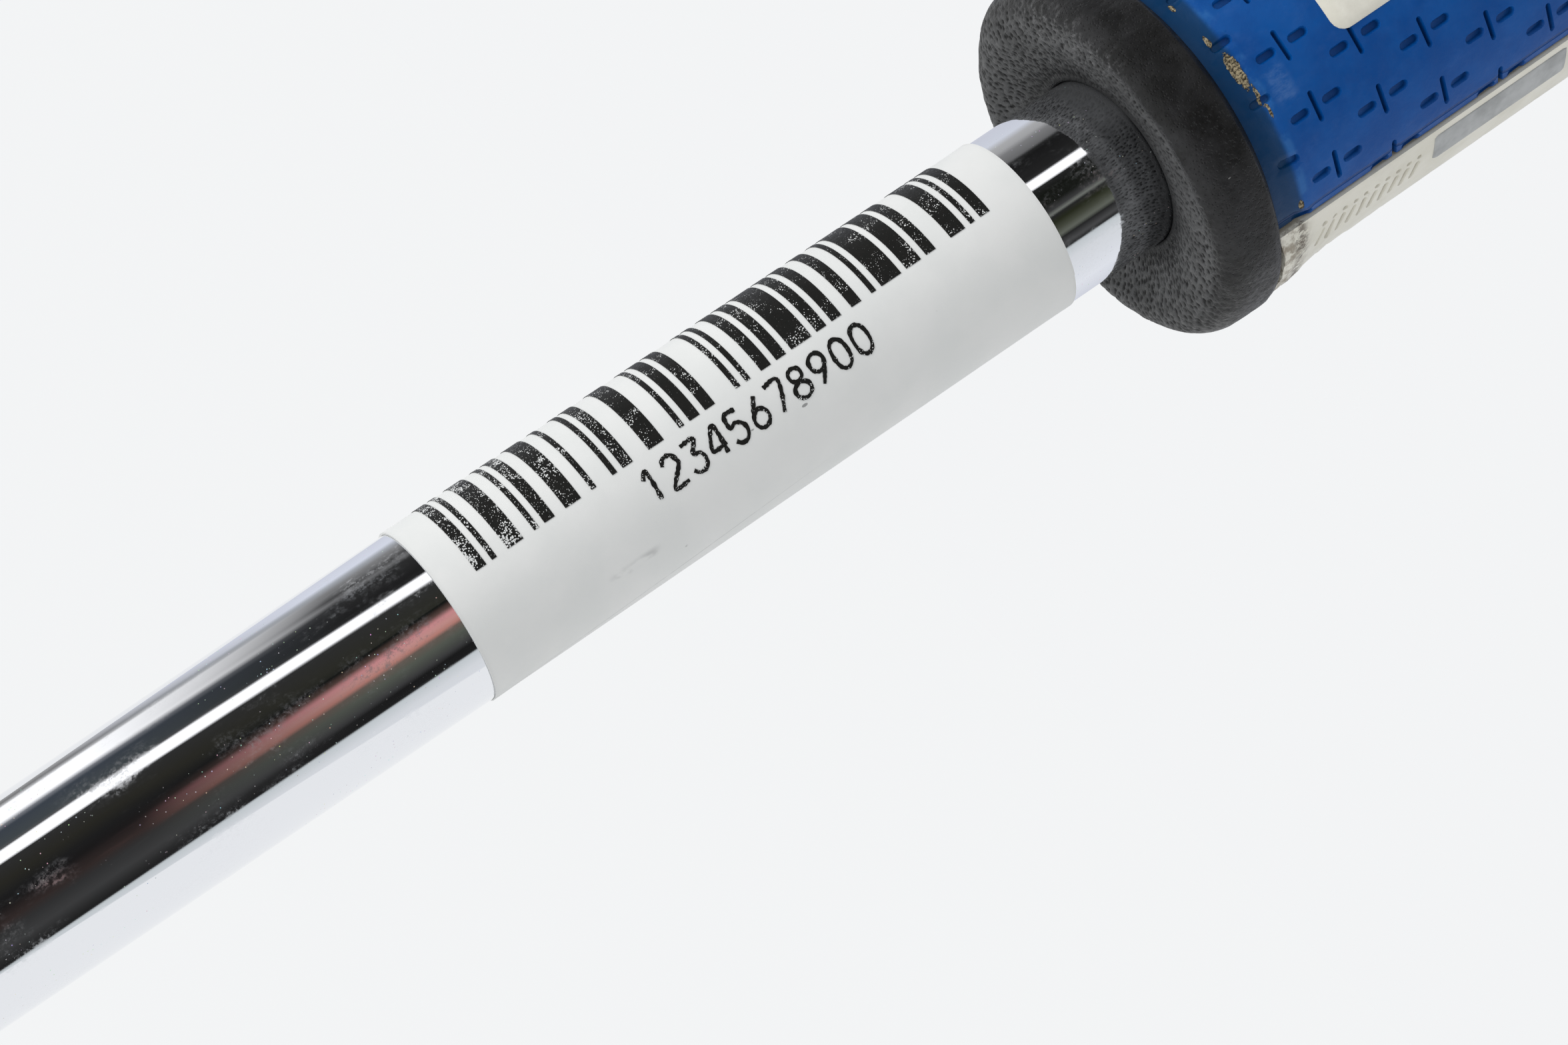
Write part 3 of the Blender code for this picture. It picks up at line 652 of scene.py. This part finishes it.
def pits_over(turns, run):
    """How deep in a pit each point is, 0 to 1, for a grid of turns and distances across the surface."""
    rows = int(run.max() / PIT_ROW) + 4
    rng = np.random.default_rng(PIT_SEED)
    shift = rng.uniform(0.12, 0.88, (2, PIT_COLUMNS, rows))
    strength = rng.uniform(0.5, 1.0, (PIT_COLUMNS, rows))
    lean = rng.uniform(-0.25, 0.25, (PIT_COLUMNS, rows))
    u = np.broadcast_to(turns / 360 * PIT_COLUMNS, run.shape[:1] + turns.shape)
    v = run / PIT_ROW + 1
    depth = np.zeros_like(v)
    for du in (-1, 0, 1):
        for dv in (-1, 0, 1):
            i, j = np.floor(u) + du, np.floor(v) + dv
            k, m = (i % PIT_COLUMNS).astype(int), np.clip(j, 0, rows - 1).astype(int)
            along = v - j - shift[1, k, m]
            across = u - i - shift[0, k, m] - lean[k, m] * along
            pit = strength[k, m] * np.exp(-(across / 0.28) ** 2 - (along / 0.36) ** 2)
            depth = np.maximum(depth, pit)
    return depth


def build_core():
    """The foam core: a rounded collar whose pitted face is dished down to the shaft."""
    bore = SHAFT_R + 0.02
    rim, sides = 3.7, 720
    flat = COLLAR_R - rim
    length = SKIN_START - MOUTH
    turns = np.arange(sides) * 360 / sides
    nearness = np.cos(np.radians(turns - GRIP_TURN))
    throat = [(bore, 5.0), (bore, 3.5), (bore, 2.6), (bore + 0.04, 2.32)]
    skin = throat + [(bore + 0.16, 2.18)] + resample([(bore + 0.3, 2.10), (flat - 1.2, 0.48)], 0.155)
    skin += resample(smooth_path([(flat - 1.05, 0.42), (flat - 0.4, 0.16), (flat + 0.4, 0.04)]), 0.155)
    back = [(COLLAR_R, length - 1.1), (COLLAR_R - 0.12, length - 0.55), (COLLAR_R - 0.45, length - 0.3)]
    skin += resample(arc((flat, rim), rim, -80, 0, 16) + back, 0.165)
    skin += [(COLLAR_R - 0.8, length - 0.25), (SKIN_R - 0.3, length - 0.25)]
    inner, insert_bore, tape_bore = SKIN_R - 1.3, 10.5, 8.15
    top, shaft_top = SKIN_END - MOUTH, SHAFT_END + 0.3 - MOUTH
    hidden = [(inner, length - 0.1), (inner, top), (insert_bore, top), (insert_bore, shaft_top),
              (tape_bore, shaft_top), (tape_bore, 5.2)]
    profile = np.array(skin)
    radius = np.repeat(profile[:, :1], sides, axis=1)
    along = np.repeat(profile[:, 1:], sides, axis=1)
    step = np.hypot(*np.diff(profile, axis=0).T)
    run = np.concatenate([[0], np.cumsum(step)])[:, None]
    slope = np.gradient(profile, axis=0)
    slope /= np.linalg.norm(slope, axis=1)[:, None]
    face = 1 - smooth_step(radius, flat + 1.6, COLLAR_R - 0.4)
    start = run[len(throat)]
    shown = smooth_step(run, start + 0.3, start + 0.9) * (1 - smooth_step(along, length - 1.3, length - 0.6))
    pit = pits_over(turns, run) * shown * (0.22 + 0.78 * face)
    waves = np.zeros_like(radius)
    for i in range(len(throat), len(skin) - 2):
        for j in range(sides):
            a = math.radians(turns[j])
            place = Vector((radius[i, j] * math.cos(a), radius[i, j] * math.sin(a), along[i, j]))
            waves[i, j] = 0.10 * noise.noise(place * 0.16) + 0.06 * noise.noise(place * 0.6)
    push = waves * shown - PIT_DEPTH * pit
    radius += push * slope[:, 1:]
    along -= push * slope[:, :1]
    near_side = (nearness + np.sqrt(nearness ** 2 + 0.1)) / 2
    slant = MOUTH_SLANT * near_side * (2.1 * radius - 1.1 * SHAFT_R)
    along += slant * (1 - smooth_step(radius, flat, COLLAR_R - 0.2))
    more = np.array(hidden)
    radius = np.vstack([radius, np.repeat(more[:, :1], sides, axis=1)])
    along = np.vstack([along, np.repeat(more[:, 1:], sides, axis=1)])
    grid = polar(radius.ravel(), np.tile(turns, len(radius)), MOUTH + along.ravel())
    piece = add_piece("grip_foam_core", on_shaft(grid), grid_faces(len(radius), sides, True), FOAM,
                      replaces=("grip_core",), sharp=75)
    # How deep in a pit each point is, for the painted shade in the foam's pits; points past the skin stay 0.
    depth = piece.data.attributes.new("pit", 'FLOAT', 'POINT')
    all_depths = np.zeros((len(radius), sides), np.float32)
    all_depths[:len(pit)] = pit
    depth.data.foreach_set("value", all_depths.ravel())


# ---- grip skins

ROW_TURN = 20.6  # degrees between rows of crosses, round the grip
ROW_PITCH = math.radians(ROW_TURN) * SKIN_R
COLUMN_PITCH = 5.65  # along it
FIRST_COLUMN = 13.85 - 2.5 * COLUMN_PITCH  # from the mouth to the first column's start
EDGE_CUTS = 8  # pieces that each side of a tile is cut into
CAPSULE_POINTS = 6  # round each end of a recess
CAPSULE_AT = 1.62  # of the two capsules of a cross, from its middle
BORDER = 1.1  # plain, beside the cream skin's seams
SKIN_THICKNESS = 1.1
BACK_CUTS = 24  # strips across a skin's smooth inner side
BLOCK_LENGTH, BLOCK_FROM = 14.2, 23.7  # the grey print beside the seam, from the mouth
BLOCK_REPEAT = 5 * COLUMN_PITCH
FIRST_BACK_COLUMN = BLOCK_FROM + 15.6 - 7 * COLUMN_PITCH


def stadium(centre, way, half, radius, floor):
    """A recess shaped like a capsule: (outline, inner outline, depth at each inner point)."""
    centre, way = np.array(centre), np.array(way, float) / np.linalg.norm(way)
    across = np.array((-way[1], way[0]))
    ring = []
    for end, start in ((1, -90), (-1, 90)):
        for k in range(CAPSULE_POINTS):
            a = math.radians(start + 180 * k / (CAPSULE_POINTS - 1))
            ring.append(centre + way * (end * half) + radius * (way * math.cos(a) + across * math.sin(a)))
    outline = np.array(ring)
    inner = outline - 0.16 * unit(outline - nearest_on(centre, way, half, outline))
    reach_along = (inner - centre) @ way
    depth = floor[0] + (floor[1] - floor[0]) * (reach_along + half + radius) / (2 * (half + radius))
    return outline, inner, depth


def nearest_on(centre, way, half, points):
    along = np.clip((points - centre) @ way, -half, half)
    return centre + along[:, None] * way


def unit(vectors):
    return vectors / np.maximum(np.linalg.norm(vectors, axis=-1, keepdims=True), 1e-9)


def cross_tile():
    """Two capsule recesses in line along the grip and a deeper bar across between them."""
    low, high = (stadium((0, at), (0, 1), 0.56, 0.43, (0.24, 0.50)) for at in (-CAPSULE_AT, CAPSULE_AT))
    return [low, stadium((0, 0), (1, 0), 1.17, 0.25, (0.60, 0.60)), high]


def rib_tile(toward_seam):
    """Slanted slots with a deep dot at the end of each, beside the seam."""
    recesses = []
    for k in range(5):
        y = -2.26 + 1.13 * k
        recesses.append(stadium((toward_seam * 0.2, y), (1, 0.3 * toward_seam), 0.85, 0.29, (0.5, 0.5)))
        recesses.append(stadium((toward_seam * 1.8, y + 0.4), (0, 1), 0.08, 0.22, (0.6, 0.6)))
    return recesses


def tile_mesh(features, width=ROW_PITCH):
    """Flat triangles of one tile, (x round, y along, z down), with its recesses sunk in."""
    hx, hy = width / 2, COLUMN_PITCH / 2
    corners = [(-hx, -hy), (hx, -hy), (hx, hy), (-hx, hy)]
    side = [(x + (x2 - x) * i / EDGE_CUTS, y + (y2 - y) * i / EDGE_CUTS)
            for (x, y), (x2, y2) in zip(corners, corners[1:] + corners[:1]) for i in range(EDGE_CUTS)]
    points = [Vector(p) for p in side]
    loops = [list(range(len(points)))]
    for outline, _, _ in features:
        loops.append(list(range(len(points), len(points) + len(outline))))
        points += [Vector(p) for p in outline]
    inside = [(x, y) for x in np.linspace(-hx, hx, 7)[1:-1] for y in np.linspace(-hy, hy, 7)[1:-1]]
    clear = [p for p in inside if all(np.min(np.linalg.norm(o - p, axis=1)) > 0.3 and not within(o, p)
                                      for o, _, _ in features)]
    points += [Vector(p) for p in clear]
    edges = [(loop[k], loop[(k + 1) % len(loop)]) for loop in loops for k in range(len(loop))]
    verts, _, tris, origin, _, _ = delaunay_2d_cdt(points, edges, [], 0, 1e-6)
    flat = np.array([(v.x, v.y, 0.0) for v in verts])
    index = {source: k for k, sources in enumerate(origin) for source in sources}
    faces = [tuple(t) for t in tris if not any(within(o, flat[list(t), :2].mean(0)) for o, _, _ in features)]
    for loop, (outline, inner, depth) in zip(loops[1:], features):
        start = len(flat)
        lip = outline + 0.35 * (inner - outline)
        flat = np.vstack([flat, np.column_stack([lip, -0.25 * depth]), np.column_stack([inner, -depth])])
        n = len(outline)
        for k in range(n):
            k2 = (k + 1) % n
            faces.append((index[loop[k]], index[loop[k2]], start + k2, start + k))
            faces.append((start + k, start + k2, start + n + k2, start + n + k))
        faces.append(tuple(start + n + k for k in range(n)))
    return flat, faces


def within(outline, point):
    """Whether a point lies inside a closed outline."""
    x, y = point
    hit = False
    for (x1, y1), (x2, y2) in zip(outline, np.roll(outline, -1, axis=0)):
        if (y1 > y) != (y2 > y) and x < (x2 - x1) * (y - y1) / (y2 - y1) + x1:
            hit = not hit
    return hit


def front_layout(half):
    """Places and kinds of the blue skin's tiles: crosses in columns a half step apart."""
    for column in range(int((SKIN_END - MOUTH - FIRST_COLUMN) / COLUMN_PITCH) + 2):
        y = MOUTH + FIRST_COLUMN + COLUMN_PITCH * (column + 0.5)
        kind = ("plain", "cross end")[column] if column < 2 else "cross"
        for row in range(-9, 10):
            x = math.radians((1.2 if column % 2 == 0 else 11.5) + ROW_TURN * row + GRIP_TURN) * SKIN_R
            if abs(x) < half + ROW_PITCH:
                yield x, y, ROW_PITCH, kind


def back_layout(half):
    """The cream skin: a plain border, ribs and print blocks by turns along each seam, crosses between."""
    rows = 8
    width = (2 * half - 2 * BORDER) / rows
    for column in range(int((SKIN_END - MOUTH - FIRST_BACK_COLUMN) / COLUMN_PITCH) + 2):
        y = MOUTH + FIRST_BACK_COLUMN + COLUMN_PITCH * (column + 0.5)
        for side in (-1, 1):
            yield side * (half - BORDER / 2), y, BORDER, "plain"
        for row in range(rows):
            kind = "cross"
            if row in (0, rows - 1):
                kind = ("ribs left" if row == 0 else "ribs right") if column % 5 in (2, 3) else "plain"
            yield -half + BORDER + width * (row + 0.5), y, width, kind


def build_panel(name, middle, layout, swell, material, node):
    """A half shell of skin: tiles of recesses, cut to size, given thickness and wrapped on the grip."""
    half = math.radians(90) * SKIN_R - 0.15
    recesses = {"plain": [], "cross": cross_tile(), "cross end": cross_tile()[2:],
                "ribs left": rib_tile(-1), "ribs right": rib_tile(1)}
    made, verts, faces, total = {}, [], [], 0
    for x, y, width, kind in layout(half):
        if (width, kind) not in made:
            made[width, kind] = tile_mesh(recesses[kind], width)
        flat, shapes = made[width, kind]
        verts.append(flat + (x, y, 0))
        faces += [tuple(i + total for i in f) for f in shapes]
        total += len(flat)
    mesh = bpy.data.meshes.new(name)
    mesh.from_pydata(np.concatenate(verts).tolist(), [], faces)
    bm = bmesh.new()
    bm.from_mesh(mesh)
    bmesh.ops.remove_doubles(bm, verts=bm.verts, dist=1e-3)
    for place, way in (((half, 0, 0), (1, 0, 0)), ((-half, 0, 0), (-1, 0, 0)),
                       ((0, SKIN_START, 0), (0, -1, 0)), ((0, SKIN_END, 0), (0, 1, 0))):
        whole = bm.verts[:] + bm.edges[:] + bm.faces[:]
        bmesh.ops.bisect_plane(bm, geom=whole, plane_co=place, plane_no=way, clear_outer=True)
    rim = [e for e in bm.edges if e.is_boundary]
    grown = bmesh.ops.extrude_edge_only(bm, edges=rim)["geom"]
    for v in (g for g in grown if isinstance(g, bmesh.types.BMVert)):
        v.co.z = -SKIN_THICKNESS
    floor_edges = [e for e in bm.edges if e.is_boundary]
    floor = bmesh.ops.contextual_create(bm, geom=floor_edges)["faces"]
    for k in range(1, BACK_CUTS):
        x = -half + 2 * half * k / BACK_CUTS
        geom = floor + [e for f in floor for e in f.edges] + [v for f in floor for v in f.verts]
        cut = bmesh.ops.bisect_plane(bm, geom=list(set(geom)), plane_co=(x, 0, 0), plane_no=(1, 0, 0))["geom"]
        floor = [g for g in cut if isinstance(g, bmesh.types.BMFace)]
    bmesh.ops.triangulate(bm, faces=floor)
    bmesh.ops.recalc_face_normals(bm, faces=bm.faces)
    bm.to_mesh(mesh)
    bm.free()
    co = np.array([v.co for v in mesh.vertices])
    outer = np.clip(1 + co[:, 2] / SKIN_THICKNESS, 0, 1)
    radius = SKIN_R + co[:, 2] + outer * swell(co[:, 1] - MOUTH, co[:, 0] / half)
    world = on_shaft(polar(radius, np.degrees(co[:, 0] / SKIN_R) + middle, co[:, 1]))
    mesh.vertices.foreach_set("co", world.astype(np.float32).ravel())
    mesh.update()
    dress(bpy.data.objects.new(name, mesh), material, replaces=(node,), sharp=50)


def front_swell(s, across):
    """How far the blue skin stands off its plain cylinder: a sunk band by the collar, then a ridge."""
    start = SKIN_START - MOUTH
    band = -0.34 * (1 - smooth_step(s, start + 1.7, start + 2.9))
    ridge = 0.10 * np.exp(-((s - start - 3.0) / 0.45) ** 2)
    seam = -0.18 * smooth_step(np.abs(across), 0.975, 1.0)
    return band + ridge + seam


def back_swell(s, across):
    """The cream skin has a low rolled border along each seam, and curls up, ragged, beside the collar."""
    border = 0.16 * np.exp(-((1 - np.abs(across)) / 0.035) ** 2)
    past = s - (SKIN_START - MOUTH)
    inside = smooth_step(1 - np.abs(across), 0.0, 0.10)
    curl = 0.70 * np.exp(-(past / 3.4) ** 2)
    ragged = 0.15 * np.sin(4.1 * s + 31 * across) * np.sin(1.7 * s - 23 * across) * np.exp(-(past / 8) ** 2)
    return border + (curl + ragged) * inside - 0.1


def raised_block(name, turn_low, turn_high, s_low, length, corner, height, material):
    """A rounded rectangle standing a little proud of the skin, wrapped round the grip."""
    width = math.radians(turn_high - turn_low) * SKIN_R
    ring = []
    for quarter, (sx, sy) in enumerate([(1, 1), (-1, 1), (-1, -1), (1, -1)]):
        centre = sx * (width / 2 - corner), sy * (length / 2 - corner)
        ring += arc(centre, corner, 90 * quarter, 90 * quarter + 90, 8)
    ring = np.array(resample(ring + ring[:1], 0.45))[:-1]
    rings = []
    for inset, lift in ((0, -0.45), (0, height - 0.08), (0.12, height)):
        pulled = ring * ((np.array((width, length)) - inset) / (width, length))
        rings.append(np.column_stack([pulled, np.full(len(ring), lift)]))
    rings += [np.column_stack([ring * k, np.full(len(ring), height)]) for k in (0.93, 0.8, 0.6, 0.4, 0.2)]
    flat = np.concatenate(rings)
    n = len(ring)
    faces = grid_faces(len(rings), n, False).tolist()
    faces += [list(range((len(rings) - 1) * n, len(rings) * n)), list(range(n))]
    turns = (turn_low + turn_high) / 2 + np.degrees(flat[:, 0] / SKIN_R)
    world = on_shaft(polar(SKIN_R + flat[:, 2], turns, s_low + length / 2 + flat[:, 1]))
    add_piece(name, world, faces, material, sharp=60)


def build_skins():
    build_panel("skin_front", 0.0, front_layout, front_swell, BLUE, "grip_skin_front")
    build_panel("skin_back", 180.0, back_layout, back_swell, CREAM, "grip_skin_back")
    reach_round = GRIP_TURN + 8.0
    raised_block("front_block", -reach_round, reach_round, MOUTH + 18.4, 55.6, 1.3, 0.10, CREAM)
    for side, name in ((1, "near"), (-1, "far")):
        for k in range(8):
            s = MOUTH + BLOCK_FROM + BLOCK_REPEAT * k
            low, high = sorted((side * 93.6, side * 105.4))
            block = "side_block_%s_%d" % (name, k + 1)
            raised_block(block, low, high, s, BLOCK_LENGTH, 0.25, 0.03, GREY_PRINT)


# ---- the rest of the putter

def keep(node, material, bevel=0.0):
    """Leave a CAD part in place, with a material and softened edges; bevel is in mm."""
    part = frame["nodes"][node]
    part.data.materials.clear()
    part.data.materials.append(material)
    if bevel:
        soft = part.modifiers.new("edges", 'BEVEL')
        soft.width, soft.segments, soft.limit_method = bevel * MM, 3, 'ANGLE'
        soft.angle_limit = math.radians(38)
    part.data.shade_smooth()
    part.data.set_sharp_from_angle(angle=math.radians(40))


def keep_parts():
    tape, under = reach("grip_tape"), SHAFT_R + 0.05
    low, high = MOUTH + 5.5, SHAFT_END - 1
    turned_tube("grip_tape_sleeve", [(tape, low), (tape, high), (under, high), (under, low)], 96, TAPE,
                ("grip_tape",))
    for node, material, bevel in (
            ("butt_cap", RUBBER, 0.4), ("butt_insert", ANODISED, 0.1),
            ("counterweight", WEIGHT_STEEL, 0.15), ("counterweight_o_ring", RUBBER, 0),
            ("hosel_neck", SATIN_STEEL, 0.2), ("head_body", ALUMINIUM, 0.4),
            ("face_insert", POLYMER, 0.2), ("insert_bed", RUBBER, 0),
            ("damping_core", RUBBER, 0.2), ("sole_plate", ANODISED, 0.2),
            ("heel_weight", TUNGSTEN, 0.15), ("toe_weight", TUNGSTEN, 0.15),
            ("sight_line", ENAMEL, 0)):
        keep(node, material, bevel)
    for k in range(1, 5):
        keep("sole_screw_%d" % k, SATIN_STEEL, 0.08)


# ---- camera and studio

CAMERA_TILT = 15.18  # between the shaft and the picture's plane
CAMERA_ROLL = 34.48  # of the shaft against the picture's long side
CAMERA_AWAY = 338.8  # mm to the shaft, along the line of sight
CAMERA_BELOW = 9.11  # mm: the line of sight passes this far below the shaft
SIGHT_AT = 27.18  # mm above the label's lower end, where it passes
LENS = 98.6


def shaft_direction(turn):
    return np.array(FRONT) * math.cos(math.radians(turn)) + np.array(SIDE) * math.sin(math.radians(turn))


def build_camera():
    tilt, roll = math.radians(CAMERA_TILT), math.radians(CAMERA_ROLL)
    along = np.array(AXIS)
    near, up = shaft_direction(GRIP_TURN), shaft_direction(GRIP_TURN - 90)
    forward = math.sin(tilt) * along - math.cos(tilt) * near
    right = math.cos(tilt) * along + math.sin(tilt) * near
    picture_right = math.cos(roll) * right - math.sin(roll) * up
    picture_up = math.sin(roll) * right + math.cos(roll) * up
    target = np.array(FOOT) + along * (LABEL_START + SIGHT_AT) * MM - up * CAMERA_BELOW * MM
    data = bpy.data.cameras.new("camera")
    data.lens, data.sensor_width = LENS, 36
    data.clip_start, data.clip_end = 0.01, 100
    camera = bpy.data.objects.new("camera", data)
    place = Matrix((picture_right, picture_up, -forward)).transposed().to_4x4()
    place.translation = target - forward * CAMERA_AWAY * MM
    camera.matrix_world = place
    bpy.context.collection.objects.link(camera)
    bpy.context.scene.camera = camera


LILAC = (0.62, 0.64, 0.72)  # the pale room in gloss, on the side away from the camera
FLOOR_REACH, FLOOR_LEVEL = 60.0, -0.0005  # metres


def build_world():
    """A pale even room for light, with a photographer's strip lamp and dark gaps in what gloss reflects."""
    world = bpy.data.worlds.new("studio")
    bpy.context.scene.world = world
    world.use_nodes = True
    w = Nodes(world.node_tree)
    w.tree.nodes.clear()
    way = w.add("ShaderNodeTexCoord").outputs["Generated"]

    def component(vector):
        inputs = {0: way, 1: tuple(vector)}
        return w.add("ShaderNodeVectorMath", inputs, operation='DOT_PRODUCT').outputs["Value"]

    def slide(value, low, high, to=1.0):
        return w.add("ShaderNodeMapRange", {0: value, 1: low, 2: high, 3: 0.0, 4: to}).outputs[0]

    toward = component(shaft_direction(GRIP_TURN))
    down = component(shaft_direction(GRIP_TURN + 90))
    along = component(AXIS)
    degrees = w.maths('MULTIPLY', w.maths('ARCTAN2', down, toward), 180 / math.pi)
    # The strip lamp stands askew to the shaft.
    askew = w.maths('MULTIPLY', slide(along, 0.09, 0.35, 26.0), w.maths('LESS_THAN', degrees, -10.0))
    place = slide(w.maths('SUBTRACT', degrees, askew), -180.0, 180.0)

    def gloss(bands):
        """What gloss reflects round the shaft: (degrees from the camera's side, colour or level)."""
        ramp = w.add("ShaderNodeValToRGB", {0: place})
        stops = ramp.color_ramp.elements
        stops[0].position, stops[1].position = 0.0, 1.0
        stops[0].color, stops[1].color = (*LILAC, 1), (*LILAC, 1)
        for at, colour in bands:
            stop = stops.new((at + 180) / 360)
            stop.color = (*(colour if isinstance(colour, tuple) else grey(colour)), 1)
        return ramp.outputs[0]

    below = [(59, 0.014), (61, (0.60, 0.64, 0.65)), (75, (0.74, 0.76, 0.78)), (120, (0.84, 0.86, 0.90))]
    low = gloss([
        (-150, (0.56, 0.58, 0.66)), (-141, 0.40), (-130, 0.20), (-124, 0.5), (-120, 1.25), (-97, 1.25),
        (-90, (0.2, 0.21, 0.23)), (-84, (0.05, 0.06, 0.075)), (-66, (0.06, 0.07, 0.075)), (-61, 0.1),
        (-60, 1.3), (-48, 1.3), (-45, 0.03), (-26, (0.024, 0.023, 0.018)), (-12, 0.014),
        (-2, (0.012, 0.011, 0.011)), (14, (0.035, 0.025, 0.023)), (24, 0.034), (40, 0.05),
        (50, 0.028)] + below)
    middle = gloss([
        (-136, (0.74, 0.77, 0.86)), (-128, (0.42, 0.44, 0.47)), (-118, 0.24), (-108, 0.15), (-103, 0.06),
        (-97, 0.16), (-91, 0.03), (-68, 0.015), (-61, 0.02), (-59, 1.25), (-49, 1.25), (-46, 0.03),
        (-22, (0.028, 0.028, 0.022)), (-8, (0.008, 0.009, 0.008)), (-1, (0.10, 0.06, 0.05)),
        (5, (0.62, 0.27, 0.27)), (12, (0.58, 0.29, 0.26)), (17, (0.50, 0.22, 0.18)), (21, (0.14, 0.11, 0.09)),
        (30, (0.095, 0.105, 0.085)), (43, 0.05), (49, 0.012)] + below)
    high = gloss([
        (-142, (0.68, 0.71, 0.78)), (-130, 0.45), (-120, 0.40), (-112, 0.22), (-99, 0.15), (-95, 0.02),
        (-90, 0.011), (-66, 0.018), (-61, 0.03), (-59.5, 1.3), (-50, 1.3), (-48, 0.02),
        (-38, (0.008, 0.009, 0.007)), (2, (0.010, 0.011, 0.009)), (10, 0.05), (14, (0.17, 0.18, 0.16)),
        (17, 0.02), (24, (0.022, 0.025, 0.013)), (33, (0.065, 0.07, 0.05)), (40, (0.13, 0.14, 0.115)),
        (45, 0.02), (54, 0.075)] + below)
    behind = gloss([
        (-172, 0.75), (-165, 0.05), (-140, 0.03), (-134, 0.85), (-104, 0.9), (-98, 0.06), (-80, 0.05),
        (-74, 0.55), (-30, 0.8), (-20, 0.06), (5, 0.04), (12, 0.6), (48, 0.8), (60, 0.08), (74, 0.04),
        (80, 1.0), (104, 0.95), (110, 0.10), (128, 0.05), (135, 0.7)])
    front = w.mix(slide(along, 0.19, 0.32), w.mix(slide(along, 0.09, 0.16), low, middle), high)
    reflected = w.mix(slide(along, -0.02, -0.14), front, behind)
    rays = w.add("ShaderNodeLightPath").outputs
    even = w.mix(rays["Is Camera Ray"], (0.58, 0.585, 0.60), (0.895, 0.905, 0.915))
    both = w.mix(rays["Is Glossy Ray"], even, reflected)
    shine = w.add("ShaderNodeBackground", {"Color": both, "Strength": 1.0})
    w.add("ShaderNodeOutputWorld", {"Surface": shine.outputs[0]})


def build_studio():
    bpy.context.scene.view_settings.view_transform = 'Standard'
    build_world()
    floor = bpy.data.meshes.new("floor")
    square = (-1, -1), (1, -1), (1, 1), (-1, 1)
    corners = [(x * FLOOR_REACH, y * FLOOR_REACH, FLOOR_LEVEL) for x, y in square]
    floor.from_pydata(corners, [], [(0, 1, 2, 3)])
    ground = bpy.data.objects.new("floor", floor)
    bpy.context.collection.objects.link(ground)
    m = Shade("floor", grey(0.20), 0.9, specular=0.0)
    m.set("Emission Color", (0.78, 0.79, 0.795, 1))
    m.set("Emission Strength", 1.0)
    floor.materials.append(m.material)
    add_lamp("key", -0.45, -62, 0.75, 0.55, 3.2)


def add_lamp(name, along, turn, away, size, power):
    """A soft square lamp aimed at the grip's mouth, given by its direction from there."""
    target = np.array(FOOT) + np.array(AXIS) * MOUTH * MM
    way = along * np.array(AXIS) + math.sqrt(1 - along ** 2) * shaft_direction(GRIP_TURN + turn)
    data = bpy.data.lights.new(name, 'AREA')
    data.size, data.energy = size, power
    lamp = bpy.data.objects.new(name, data)
    lamp.location = target + way * away
    lamp.rotation_euler = Vector(way).to_track_quat('Z', 'Y').to_euler()
    lamp.visible_glossy = False
    bpy.context.collection.objects.link(lamp)


build_shaft()
build_label()
build_print()
build_core()
build_skins()
keep_parts()
build_camera()
build_studio()
